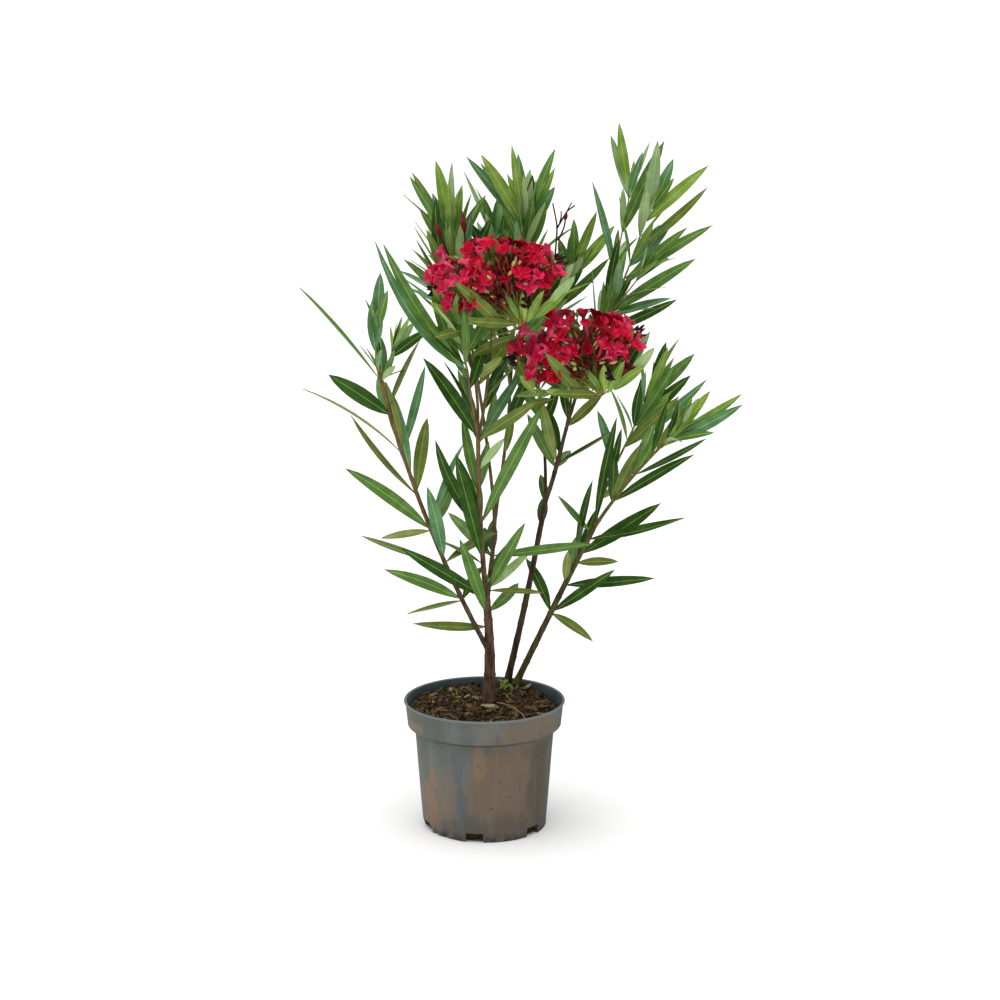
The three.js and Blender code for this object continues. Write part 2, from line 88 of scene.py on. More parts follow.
def make_camera():
    camera = bpy.data.objects.new("camera", bpy.data.cameras.new("camera"))
    camera.data.lens = CAMERA["lens"]
    camera.data.sensor_width = CAMERA["sensor"]
    camera.data.clip_end = 2 * FLOOR["radius"]
    place = Vector((CAMERA["aside"], -CAMERA["distance"], CAMERA["height"]))
    aim_at(camera, place, Vector((CAMERA["aside"], 0, CAMERA["aim"])))
    bpy.context.scene.collection.objects.link(camera)
    bpy.context.scene.camera = camera


def make_light():
    sun = bpy.data.objects.new("soft_sun", bpy.data.lights.new("soft_sun", "SUN"))
    sun.data.energy = SUN["strength"]
    sun.data.angle = math.radians(SUN["spread"])
    sun.rotation_euler = (math.radians(SUN["tilt"]), 0, math.radians(SUN["turn"]))
    bpy.context.scene.collection.objects.link(sun)
    sky = bpy.data.worlds.new("sky")
    sky.use_nodes = True
    background = sky.node_tree.nodes["Background"]
    background.inputs["Color"].default_value = (1, 1, 1, 1)
    path = sky.node_tree.nodes.new("ShaderNodeLightPath")
    seen = sky.node_tree.nodes.new("ShaderNodeMapRange")
    seen.inputs["To Min"].default_value = SKY
    seen.inputs["To Max"].default_value = 1
    sky.node_tree.links.new(path.outputs["Is Camera Ray"], seen.inputs["Value"])
    sky.node_tree.links.new(seen.outputs["Result"], background.inputs["Strength"])
    bpy.context.scene.world = sky
    bpy.context.scene.view_settings.view_transform = "Standard"


def make_floor():
    white = bpy.data.materials.new("floor_white")
    white.use_nodes = True
    shader = white.node_tree.nodes["Principled BSDF"]
    shader.inputs["Base Color"].default_value = FLOOR["colour"]
    shader.inputs["Roughness"].default_value = FLOOR["roughness"]
    bm = bmesh.new()
    bmesh.ops.create_circle(bm, cap_ends=True, segments=64, radius=FLOOR["radius"])
    link_piece("floor", bm, [white])


# ---------------------------------------------------------------- shader helpers


def shade(tree, kind, inputs=None, **settings):
    """Adds a shader node. Each input is a value, or another node's output to join to it."""
    made = tree.nodes.new(kind)
    for key, value in settings.items():
        setattr(made, key, value)
    for key, value in (inputs or {}).items():
        if isinstance(value, bpy.types.NodeSocket):
            tree.links.new(value, made.inputs[key])
        else:
            made.inputs[key].default_value = value
    return made


def maths(tree, operation, *values):
    """A maths node on numbers or on other nodes' outputs."""
    return shade(tree, "ShaderNodeMath", dict(enumerate(values)), operation=operation).outputs[0]


def vector_maths(tree, operation, *values):
    made = shade(tree, "ShaderNodeVectorMath", dict(enumerate(values)), operation=operation)
    return made.outputs["Value" if operation == "LENGTH" else "Vector"]


def smooth_step(tree, value, low, high):
    """0 at low and 1 at high, with a smooth way between them."""
    inputs = {"Value": value, "From Min": low, "From Max": high}
    return shade(tree, "ShaderNodeMapRange", inputs, interpolation_type="SMOOTHSTEP").outputs[0]


def object_place(tree):
    return shade(tree, "ShaderNodeTexCoord").outputs["Object"]


def drawn_out(tree, rise):
    """The place on the object, by which noise is drawn out upwards where rise is under 1."""
    stretch = shade(tree, "ShaderNodeCombineXYZ", {"X": 1.0, "Y": 1.0, "Z": rise}).outputs[0]
    return vector_maths(tree, "MULTIPLY", object_place(tree), stretch)


def cloud_noise(tree, place, scale, **settings):
    return shade(tree, "ShaderNodeTexNoise", {"Vector": place, "Scale": scale, **settings}).outputs[0]


def new_group(name, output, inputs):
    """An empty shader group. Gives the group, its inputs and the socket of its one output back."""
    group = bpy.data.node_groups.new(name, "ShaderNodeTree")
    for socket, value in inputs.items():
        kind = "NodeSocketFloat" if isinstance(value, float) else "NodeSocketVector"
        made = group.interface.new_socket(socket, in_out="INPUT", socket_type=kind)
        made.default_value = value
    group.interface.new_socket(output, in_out="OUTPUT", socket_type="NodeSocketFloat")
    given = group.nodes.new("NodeGroupInput").outputs
    return group, given, group.nodes.new("NodeGroupOutput").inputs[output]


def make_patches_group():
    """Soft-edged patches of noise. Rise under 1 draws them out upwards."""
    inputs = {"Scale": 20.0, "Rise": 1.0, "Level": 0.5, "Soft": 0.1}
    group, given, result = new_group("patches", "Mask", inputs)
    cloud = cloud_noise(group, drawn_out(group, given["Rise"]), given["Scale"], Detail=4.0)
    low = maths(group, "SUBTRACT", given["Level"], given["Soft"])
    high = maths(group, "ADD", given["Level"], given["Soft"])
    group.links.new(smooth_step(group, cloud, low, high), result)
    return group


def make_near_group():
    """A mask about a place, stretched by its size along each axis, with a ragged edge."""
    inputs = {"Place": (0, 0, 0), "Size": (0.05, 0.05, 0.05), "Ragged": 0.6}
    group, given, result = new_group("near", "Mask", inputs)
    place = object_place(group)
    away = vector_maths(group, "SUBTRACT", place, given["Place"])
    length = vector_maths(group, "LENGTH", vector_maths(group, "DIVIDE", away, given["Size"]))
    stretched = vector_maths(group, "MULTIPLY", place, (1.0, 1.0, 0.45))
    cloud = cloud_noise(group, stretched, 55.0, Detail=5.0, Roughness=0.65)
    middle = maths(group, "SUBTRACT", cloud, 0.5)
    ragged = maths(group, "MULTIPLY_ADD", middle, given["Ragged"], length)
    group.links.new(smooth_step(group, ragged, 1.0, 0.5), result)
    return group


def make_height_group():
    """A mask that rises from 0 at Low to 1 at High up the object."""
    group, given, result = new_group("height", "Mask", {"Low": 0.0, "High": 1.0})
    level = shade(group, "ShaderNodeSeparateXYZ", {0: object_place(group)}).outputs["Z"]
    group.links.new(smooth_step(group, level, given["Low"], given["High"]), result)
    return group


def make_grain_group():
    """Fine relief, drawn out upwards where Rise is under 1."""
    group, given, result = new_group("grain", "Height", {"Scale": 400.0, "Rise": 1.0})
    place = drawn_out(group, given["Rise"])
    group.links.new(cloud_noise(group, place, given["Scale"], Detail=5.0, Roughness=0.6), result)
    return group


PATCHES = make_patches_group()
NEAR = make_near_group()
HEIGHT = make_height_group()
GRAIN = make_grain_group()


def use(tree, group, **inputs):
    """Places a shared group in a material and returns its output."""
    made = shade(tree, "ShaderNodeGroup", node_tree=group)
    for key, value in inputs.items():
        made.inputs[key].default_value = value
    return made.outputs[0]


def rgb(red, green, blue):
    """A colour as the eye reads it, 0 to 255, turned to the linear values that shaders take."""
    return (*(((c / 255 + 0.055) / 1.055) ** 2.4 for c in (red, green, blue)), 1)


def mix(tree, mask, first, second):
    """The first colour where the mask is 0 and the second where it is 1."""
    made = shade(tree, "ShaderNodeMix", {0: mask}, data_type="RGBA")
    for socket, colour in ((made.inputs[6], first), (made.inputs[7], second)):
        if isinstance(colour, bpy.types.NodeSocket):
            tree.links.new(colour, socket)
        else:
            socket.default_value = rgb(*colour)
    return made.outputs[2]


def overlay(tree, colour, mask, strength, tint):
    """A colour with a tint laid over it where the mask is, at a strength from 0 to 1."""
    return mix(tree, maths(tree, "MULTIPLY", mask, strength), colour, tint)


def new_material(name, paint, roughness, gloss, grain, depth, rise=1.0):
    """A material with the colour that paint makes in its tree, under fine relief of a depth in metres."""
    material = bpy.data.materials.new(name)
    material.use_nodes = True
    tree = material.node_tree
    shader = tree.nodes["Principled BSDF"]
    shader.inputs["Roughness"].default_value = roughness
    shader.inputs["Specular IOR Level"].default_value = gloss
    tree.links.new(paint(tree), shader.inputs["Base Color"])
    relief = use(tree, GRAIN, Scale=grain, Rise=rise)
    bump = shade(tree, "ShaderNodeBump", {"Height": relief, "Strength": 1.0, "Distance": depth})
    tree.links.new(bump.outputs["Normal"], shader.inputs["Normal"])
    return material


def mottled(name, first, second, roughness, scale=60.0, gloss=0.4, grain=900.0, depth=0.0002):
    """A surface of two near colours in soft patches, under fine relief."""

    def paint(tree):
        return mix(tree, use(tree, PATCHES, Scale=scale, Soft=0.18), first, second)

    return new_material(name, paint, roughness, gloss, grain, depth)


# ---------------------------------------------------------------- mesh helpers


def uneven(seed):
    """A repeatable number from -1 to 1 for each seed."""
    return 2 * (math.sin(seed * 12.9898) * 43758.5453 % 1) - 1


def lerp(first, second, share):
    return first + (second - first) * share


def mesh_of(bm, name):
    mesh = bpy.data.meshes.new(name)
    bm.to_mesh(mesh)
    bm.free()
    return mesh


def link_piece(name, bm, materials, smooth=True):
    """Makes an object of a finished bmesh, with its materials."""
    for face in bm.faces:
        face.smooth = smooth
    mesh = mesh_of(bm, name)
    for material in materials:
        mesh.materials.append(material)
    piece = bpy.data.objects.new(name, mesh)
    bpy.context.scene.collection.objects.link(piece)
    return piece


def add_piece(name, bm, materials, replaced=(), smooth=True):
    """A finished piece of the plant or pot, which may stand for CAD nodes."""
    piece = link_piece(name, bm, materials, smooth)
    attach(piece, "root")
    if replaced:
        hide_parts(*replaced)
    return piece


class Batch:
    """Copies of small shapes, joined as one mesh."""

    def __init__(self):
        self.bm = bmesh.new()

    def add(self, template, place, shift=0):
        """Adds a copy with its vertices moved by place and its material numbers shifted."""
        first_vert, first_face = len(self.bm.verts), len(self.bm.faces)
        self.bm.from_mesh(template)
        self.bm.verts.ensure_lookup_table()
        self.bm.faces.ensure_lookup_table()
        for vert in self.bm.verts[first_vert:]:
            vert.co = place(vert.co.copy())
        for face in self.bm.faces[first_face:]:
            face.material_index += shift

    def finish(self):
        bmesh.ops.recalc_face_normals(self.bm, faces=self.bm.faces)
        return self.bm


def cut_tube(sides, rings, turn=0.0):
    """A closed tube of radius 1 that stands from 0 to 1 on the Z axis, turned and cut into rings."""
    bm = bmesh.new()
    bmesh.ops.create_cone(bm, cap_ends=True, segments=sides, radius1=1, radius2=1, depth=1)
    bmesh.ops.rotate(bm, verts=bm.verts, cent=(0, 0, 0), matrix=Matrix.Rotation(turn, 3, "Z"))
    bmesh.ops.translate(bm, verts=bm.verts, vec=UP / 2)
    upright = [edge for edge in bm.edges if abs(edge.verts[0].co.z - edge.verts[1].co.z) > 0.5]
    bmesh.ops.subdivide_edges(bm, edges=upright, cuts=rings - 1)
    return bm


def unit_tube(sides, rings):
    return mesh_of(cut_tube(sides, rings), "tube")


def blade(name, bm, number_of):
    """A template for leaves and petals: its margins are sharp and its sides are numbered."""
    for edge in bm.edges:
        edge.smooth = not all(abs(vert.co.y) < 0.1 for vert in edge.verts)
    for face in bm.faces:
        face.material_index = number_of(face.calc_center_median())
    return mesh_of(bm, name)


def spun(way, steps):
    """A closed body, spun about the Z axis from pairs of radius and height in metres."""
    bm = bmesh.new()
    verts = [bm.verts.new((radius, 0, height)) for radius, height in way]
    edges = [bm.edges.new(pair) for pair in zip(verts, verts[1:])]
    bmesh.ops.spin(bm, geom=verts + edges, cent=(0, 0, 0), axis=(0, 0, 1), angle=2 * math.pi,
                   steps=steps, use_merge=True)
    bmesh.ops.remove_doubles(bm, verts=bm.verts, dist=0.01 * MM)
    bmesh.ops.recalc_face_normals(bm, faces=bm.faces)
    return bm


def splay(frame, heading, angle):
    """The way outward from a line at a heading, and the direction that leans from it by an angle."""
    along, right, back = frame
    outward = right * math.cos(heading) + back * math.sin(heading)
    return outward, along * math.cos(angle) + outward * math.sin(angle)


# ---------------------------------------------------------------- lines that limbs follow


class Line:
    """A limb's middle line, from its foot to its tip, and its radius at each end."""

    def __init__(self, points, girth):
        self.points = points
        self.girth = girth
        self.marks = [0.0]
        for a, b in zip(points, points[1:]):
            self.marks.append(self.marks[-1] + (b - a).length)
        self.length = self.marks[-1]

    def point(self, share):
        """The place at a share of the length. Past an end, the line runs on straight."""
        wanted = share * self.length
        last = len(self.points) - 2
        i = next((k for k in range(last) if self.marks[k + 1] > wanted), last)
        step = self.marks[i + 1] - self.marks[i]
        return self.points[i].lerp(self.points[i + 1], (wanted - self.marks[i]) / step)

    def along(self, share):
        reach = 0.02
        return (self.point(share + reach) - self.point(share - reach)).normalized()

    def frame(self, share):
        """The direction along the line, and two directions across it."""
        along = self.along(share)
        right = Vector((0, 1, 0)).cross(along).normalized()
        return along, right, along.cross(right).normalized()

    def radius(self, share):
        return lerp(*self.girth, share)


def level_ring(mesh, height):
    """The points where the edges of a CAD solid cross a level."""
    ring = []
    for edge in mesh.edges:
        a, b = (mesh.vertices[i].co for i in edge.vertices)
        if (a.z - height) * (b.z - height) < 0:
            ring.append(a.lerp(b, (height - a.z) / (b.z - a.z)))
    return ring


LEVEL_STEP = 12 * MM
INSET = 0.05  # the share of a limb's height that its slices keep off each end


def limb_line(node):
    """A limb's middle line and girth, read level by level from its CAD solid."""
    low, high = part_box(node)
    mesh = NODES[node].data
    count = max(6, round((high.z - low.z) / LEVEL_STEP))
    bottom, top = lerp(low.z, high.z, INSET), lerp(low.z, high.z, 1 - INSET)
    rings = [level_ring(mesh, lerp(bottom, top, i / count)) for i in range(count + 1)]
    points = [sum(ring, Vector()) / len(ring) for ring in rings]
    middle = [min((p - c).length for p in ring) for ring, c in zip(rings, points)]
    for _ in range(2):
        inner = [(a + b * 2 + c) / 4 for a, b, c in zip(points, points[1:], points[2:])]
        points = [points[0], *inner, points[-1]]
    quarter = count // 4
    slope = (middle[-quarter] - middle[quarter]) / (1 - 2 * quarter / count)
    girth = (middle[quarter] - slope / 4, middle[-quarter] + slope / 4)
    foot = points[0] + (points[0] - points[1]) * (INSET * count)
    tip = points[-1] + (points[-1] - points[-2]) * (INSET * count)
    return Line([foot, *points, tip], girth)


def curve_line(start, reach, bow, girth, steps=12):
    """A shoot's line: it passes bow off the middle of the straight way."""
    end = start + Vector(reach) * MM
    middle = start.lerp(end, 0.5) + Vector(bow) * (2 * MM)
    shares = [i / steps for i in range(steps + 1)]
    points = [start.lerp(middle, s).lerp(middle.lerp(end, s), s) for s in shares]
    return Line(points, girth)


def add_tube(batch, template, line, number=0):
    """A round shape along a line, as thick as the line's girth says."""

    def place(co):
        _, right, back = line.frame(co.z)
        return line.point(co.z) + (right * co.x + back * co.y) * line.radius(co.z)

    batch.add(template, place, number)


# ---------------------------------------------------------------- limbs

STEMS = {
    "main_stem": ["left_bough", "front_bough", "rear_bough", "front_left_branch", "front_middle_branch",
                  "front_flower_branch", "rear_left_branch", "rear_right_branch"],
    "middle_stem": ["middle_rear_branch", "middle_front_branch", "upper_right_bough", "right_flower_branch"],
    "right_stem": ["right_rear_branch", "right_front_branch"],
}
LIMBS = [limb for stem, limbs in STEMS.items() for limb in (stem, *limbs)]
LINES = {limb: limb_line(limb) for limb in LIMBS}

FLARE = {"stem": 0.3, "bough": 0.25, "height": 11 * MM}
NODE_RING = {"gap": 26 * MM, "height": 1.6 * MM, "proud": 0.13}
BARK = {"ridges": 0.035, "lumps": 0.06, "ring_step": 3 * MM, "sides": 16}
STOUT = {"right_stem": 1.22, "main_stem": 1.1, "middle_stem": 1.1, "middle_front_branch": 1.2}
SEATED = 4 * MM  # how far a bough's foot is sunk into the limb that it grows from


def bark_radius(line, share, angle, seed, flare, stout):
    """A limb's radius: taper, root flare, rings at the leaf scars, lumps and upright ridges."""
    way = share * line.length
    radius = line.radius(share) * stout * (1 + flare * math.exp(-max(way, 0) / FLARE["height"]))
    from_ring = (way + seed) % NODE_RING["gap"] - NODE_RING["gap"] / 2
    radius *= 1 + NODE_RING["proud"] * math.exp(-((from_ring / NODE_RING["height"]) ** 2))
    spot = Vector((math.cos(angle), math.sin(angle), way * 60))
    radius *= 1 + BARK["lumps"] * noise.noise(spot * 0.7 + Vector((seed, 0, 0)))
    radius *= 1 + BARK["ridges"] * noise.noise(Vector((spot.x * 4, spot.y * 4, way * 90 + seed)))
    return radius


def add_limb(batch, limb, number):
    """Bark along one limb, from just inside its parent to its tip."""
    line = LINES[limb]
    is_stem = limb in STEMS
    flare = FLARE["stem" if is_stem else "bough"]
    start = 0 if is_stem else -SEATED / line.length
    tube = unit_tube(BARK["sides"], max(8, round(line.length / BARK["ring_step"])))

    def place(co):
        share = lerp(start, 1.0, co.z)
        _, right, back = line.frame(share)
        if is_stem and co.z < 0.01:
            right, back = Vector((1, 0, 0)), Vector((0, 1, 0))
        radius = bark_radius(line, share, math.atan2(co.y, co.x), number * 0.7, flare, STOUT.get(limb, 1.05))
        return line.point(share) + (right * co.x + back * co.y) * radius

    batch.add(tube, place)


def bark_material(name, old, young, low, high):
    """Bark of two near colours at the foot and two others from a height on, with pale flecks."""

    def paint(tree):
        streaks = use(tree, PATCHES, Scale=160.0, Rise=0.25, Soft=0.16)
        flecks = use(tree, PATCHES, Scale=420.0, Level=0.66, Soft=0.04)
        height = use(tree, HEIGHT, Low=low, High=high)
        aged = mix(tree, height, mix(tree, streaks, *old), mix(tree, streaks, *young))
        return overlay(tree, aged, flecks, 0.4, (150, 132, 104))

    return new_material(name, paint, 0.72, 0.12, 700.0, 0.0006, 0.4)


def make_limbs():
    green = ((88, 84, 36), (114, 106, 58))
    brown = ((88, 70, 40), (116, 98, 62))
    barks = {
        "main_stem": bark_material("main_bark", ((60, 44, 34), (98, 76, 58)), brown, 0.26, 0.5),
        "middle_stem": bark_material("middle_bark", ((46, 36, 24), (80, 64, 44)), green, 0.5, 0.8),
        "right_stem": bark_material("right_bark", ((54, 50, 26), (88, 80, 46)), green, 0.28, 0.5),
    }
    for stem, limbs in STEMS.items():
        batch = Batch()
        for number, limb in enumerate((stem, *limbs)):
            add_limb(batch, limb, number)
        add_piece(stem + "_wood", batch.finish(), [barks[stem]], [stem, *limbs])


# ---------------------------------------------------------------- leaves

# A leaf: millimetres, degrees for its bend, sickle and twist, and shares of its width for the rest.
# A leaf shorter than full is narrower.
LEAF = {"width": 16.5, "young": 13.5, "full": 95, "rib": 0.8, "thick": 0.35, "rib_below": 1.4, "stalk": 0.1,
        "uneven": 0.12, "bend": (-16, 20), "sickle": (-9, 9), "twist": (-22, 22), "fold": 0.22,
        "folds": (0.4, 1.8), "segments": 8}

# Leafy shoots, each on a limb at a share of its length. Reach and bow are millimetres to the right,
# back and up. Whorls of three stand over each other, each turned half a step, with extra leaves
# between them. The leaves' length (mm) and spread (degrees from the shoot) run from foot to tip, turn
# is the heading of the first leaf, and tips is the number of small leaves that close the shoot.
Shoot = namedtuple("Shoot", "name limb at reach bow whorls leaf spread turn tint extra tips")
SHOOTS = [Shoot(*row) for row in (
    ("left_outer_shoot", "left_bough", 1, (-3, -6, 58), (-2, 0, 0),
     2, (36, 34), (26, 10), 180, "summer", 0, 2),
    ("left_inner_shoot", "left_bough", 0.97, (14, 16, 38), (1, 0, 0),
     2, (44, 34), (40, 16), 30, "summer", 0, 2),
    ("front_left_shoot", "front_left_branch", 1, (-9, -16, 56), (-1, 0, 0),
     3, (110, 84), (34, 16), 170, "fresh", 1, 5),
    ("front_middle_shoot", "front_middle_branch", 1, (-20, 34, 68), (0, 0, 0),
     4, (96, 80), (44, 20), 150, "summer", 1, 5),
    ("rear_left_shoot", "rear_left_branch", 1, (-26, 10, 138), (0, 0, 0),
     5, (112, 80), (44, 16), 175, "light", 1, 3),
    ("rear_middle_shoot", "rear_right_branch", 0.72, (-16, 44, 190), (-3, 2, 0),
     5, (112, 96), (42, 16), 60, "light", 2, 5),
    ("rear_right_shoot", "rear_right_branch", 1, (18, -24, 156), (3, 0, 0),
     5, (110, 80), (44, 16), 10, "light", 1, 3),
    ("middle_rear_shoot", "middle_rear_branch", 1, (-4, 40, 104), (0, 0, 0),
     4, (112, 100), (46, 18), 90, "fresh", 2, 5),
    ("middle_inner_sprig", "middle_rear_shoot", 0.85, (48, -30, 84), (2, 0, 2),
     3, (76, 50), (40, 16), 40, "summer", 1, 5),
    ("upper_right_shoot", "upper_right_bough", 1, (50, 0, 138), (2, 0, 0),
     4, (76, 58), (38, 16), 0, "fresh", 0, 2),
    ("upper_inner_shoot", "upper_right_bough", 0.8, (46, 84, 190), (2, 4, 0),
     4, (60, 52), (26, 12), 120, "fresh", 0, 2),
    ("upper_low_shoot", "upper_right_bough", 0.96, (38, -30, 56), (0, 0, 0),
     2, (64, 54), (38, 16), 330, "summer", 0, 2),
    ("right_rear_shoot", "right_rear_branch", 1, (38, 32, 80), (0, 0, -3),
     4, (82, 56), (36, 14), 60, "summer", 0, 3),
    ("right_front_shoot", "right_front_branch", 1, (22, -18, 32), (0, 0, -2),
     3, (60, 38), (34, 14), 20, "fresh", 0, 0),
)]
LEAVES_PER_WHORL = 3
JITTER = {"turn": 12, "spread": 6, "length": 0.1, "roll": (-35, 35)}
SEED_STEP = {"leaf": 5, "whorl": 17}
LEAFY = (0.12, 0.96)
CROWDING = 0.75
SHOOT_GIRTH = (1.7 * MM, 0.9 * MM)
TIP_LEAVES = {"length": (28, 52), "spread": (6, 20), "turn": 137}

# Old leaves on bare wood. Each whorl has its limb, its share of the limb's length and its leaves:
# a step along the limb, the lean from upright (to the right is plus) and the turn towards the
# front in degrees, the length in millimetres, the roll, the shade and, for some, how far the leaf
# bends up (or down, if minus) on its way.
WHORLS = {
    "main_stem_whorl": ("main_stem", 0.87, [
        (-0.14, -91, 10, 100, "half", "olive"), (0.01, -15, 15, 124, "face", "green"),
        (0.0, 64, -50, 90, "face", "green")]),
    "left_lowest_whorl": ("left_bough", 0.19, [
        (0.0, -103, 10, 75, "edge", "olive"), (0.01, -58, 15, 112, "face", "green", -12),
        (0.0, 30, -55, 80, "face", "dark")]),
    "left_low_whorl": ("left_bough", 0.33, [
        (-0.01, -78, -20, 124, "thin", "olive"), (0.0, 58, -25, 90, "edge", "olive"),
        (0.024, -8, 20, 106, "face", "teal")]),
    "left_second_whorl": ("left_bough", 0.455, [
        (-0.005, -95, 10, 66, "back", "olive"), (0.005, -45, 10, 138, "face", "green", -12),
        (0.0, 34, -60, 95, "face", "green"), (0.0, 16, -6, 122, "edge", "teal")]),
    "left_third_whorl": ("left_bough", 0.58, [
        (0.0, -52, -15, 138, "thin", "olive", 20), (0.08, -14, 14, 108, "face", "teal"),
        (0.01, 5, -30, 110, "half", "olive")]),
    "left_fourth_whorl": ("left_bough", 0.72, [
        (0.01, -44, 10, 160, "thin", "olive", -20), (0.02, -14, 14, 96, "face", "olive"),
        (0.01, 19, -16, 116, "thin", "teal")]),
    "left_fifth_whorl": ("left_bough", 0.85, [
        (0.01, -53, 8, 96, "broad", "dark"), (0.035, 23, -15, 96, "thin", "olive"),
        (0.0, -30, -60, 90, "face", "green")]),
    "left_top_whorl": ("left_bough", 0.935, [
        (0.045, -38, 5, 158, "thin", "green"),
        (0.04, 0, -60, 80, "face", "dark"), (0.04, 34, 30, 34, "back", "pale")]),
    "front_lowest_whorl": ("front_bough", 0.08, [
        (-0.07, -54, 20, 148, "face", "dark"), (0.0, 44, -60, 100, "face", "green")]),
    "front_low_whorl": ("front_bough", 0.25, [
        (-0.03, -58, 5, 72, "edge", "olive"), (0.02, -12, 20, 158, "broad", "dark"),
        (0.0, 8, -66, 70, "face", "dark")]),
    "front_middle_whorl": ("front_bough", 0.475, [
        (-0.015, -40, 8, 126, "broad", "dark", 30), (0.0, 25, 6, 188, "broad", "green"),
        (0.02, -19, 4, 94, "face", "dark"),
        (0.0, -14, -60, 110, "face", "green")]),
    "front_upper_whorl": ("front_bough", 0.67, [
        (-0.01, -16, -10, 104, "face", "green"), (0.13, 36, 25, 66, "back", "pale"),
        (0.0, 10, -60, 90, "face", "green")]),
    "front_top_whorl": ("front_bough", 0.9, [
        (0.1, -29, 12, 126, "broad", "dark"), (0.08, 53, 26, 114, "face", "olive"),
        (0.05, 30, -20, 112, "face", "teal"), (0.06, -14, -40, 110, "face", "green")]),
    "front_left_whorl": ("front_left_branch", 0.86, [
        (0.13, -54, 6, 198, "face", "teal", 40), (0.09, -42, 10, 196, "face", "green", 24),
        (-0.04, -30, -12, 150, "face", "green", 20)]),
    "rear_low_whorl": ("rear_bough", 0.24, [
        (-0.15, 89, 10, 74, "edge", "olive"), (-0.1, 26, 15, 108, "face", "green"),
        (-0.1, 55, -25, 78, "back", "pale")]),
    "rear_middle_whorl": ("rear_bough", 0.52, [
        (0.0, 80, 15, 147, "half", "green"), (0.0, -50, -45, 105, "face", "green"),
        (0.04, -4, -66, 80, "face", "dark")]),
    "middle_stem_whorl": ("middle_stem", 0.88, [
        (-0.02, 8, -62, 60, "face", "dark"), (0.1, -4, -60, 60, "face", "dark")]),
    "middle_top_whorl": ("middle_front_branch", 0.42, [
        (0.55, 63, 15, 92, "edge", "dark"), (0.56, -17, 20, 98, "back", "olive"),
        (0.4, -35, -45, 100, "face", "green"), (0.4, 50, -66, 60, "face", "green")]),
    "right_low_whorl": ("right_stem", 0.47, [
        (-0.01, 117, 10, 68, "half", "olive"), (0.0, -18, -10, 80, "half", "dark"),
        (0.01, 53, 15, 107, "face", "dark")]),
    "right_second_whorl": ("right_stem", 0.65, [
        (-0.01, 86, 5, 122, "half", "dark"), (0.01, 4, 20, 50, "back", "olive"),
        (0.0, 20, -60, 90, "face", "green")]),
    "right_third_whorl": ("right_stem", 0.79, [
        (-0.01, 80, 15, 58, "face", "olive"), (0.0, 26, -20, 76, "face", "dark"),
        (0.01, 6, 6, 116, "half", "dark")]),
    "right_top_whorl": ("right_stem", 0.93, [
        (-0.09, 61, -12, 128, "broad", "dark"), (0.0, 81, 10, 136, "half", "dark"),
        (0.04, -46, 10, 72, "half", "green")]),
    "right_inner_whorl": ("right_rear_branch", 0.42, [
        (-0.32, 9, 0, 146, "slim", "dark"), (-0.06, 45, 20, 58, "back", "olive"),
        (0.3, -12, -8, 84, "edge", "teal"), (0.26, 11, 10, 66, "slim", "dark")]),
    "right_branch_whorl": ("right_front_branch", 0.3, [
        (0.02, 23, 14, 90, "face", "olive"), (0.02, 55, 4, 126, "slim", "dark"),
        (0.0, 10, -60, 90, "face", "dark")]),
    "right_outer_whorl": ("right_front_branch", 0.6, [
        (0.03, 66, 4, 106, "edge", "dark"), (0.05, 34, -30, 80, "face", "green"),
        (0.0, 30, -50, 100, "face", "green")]),
}

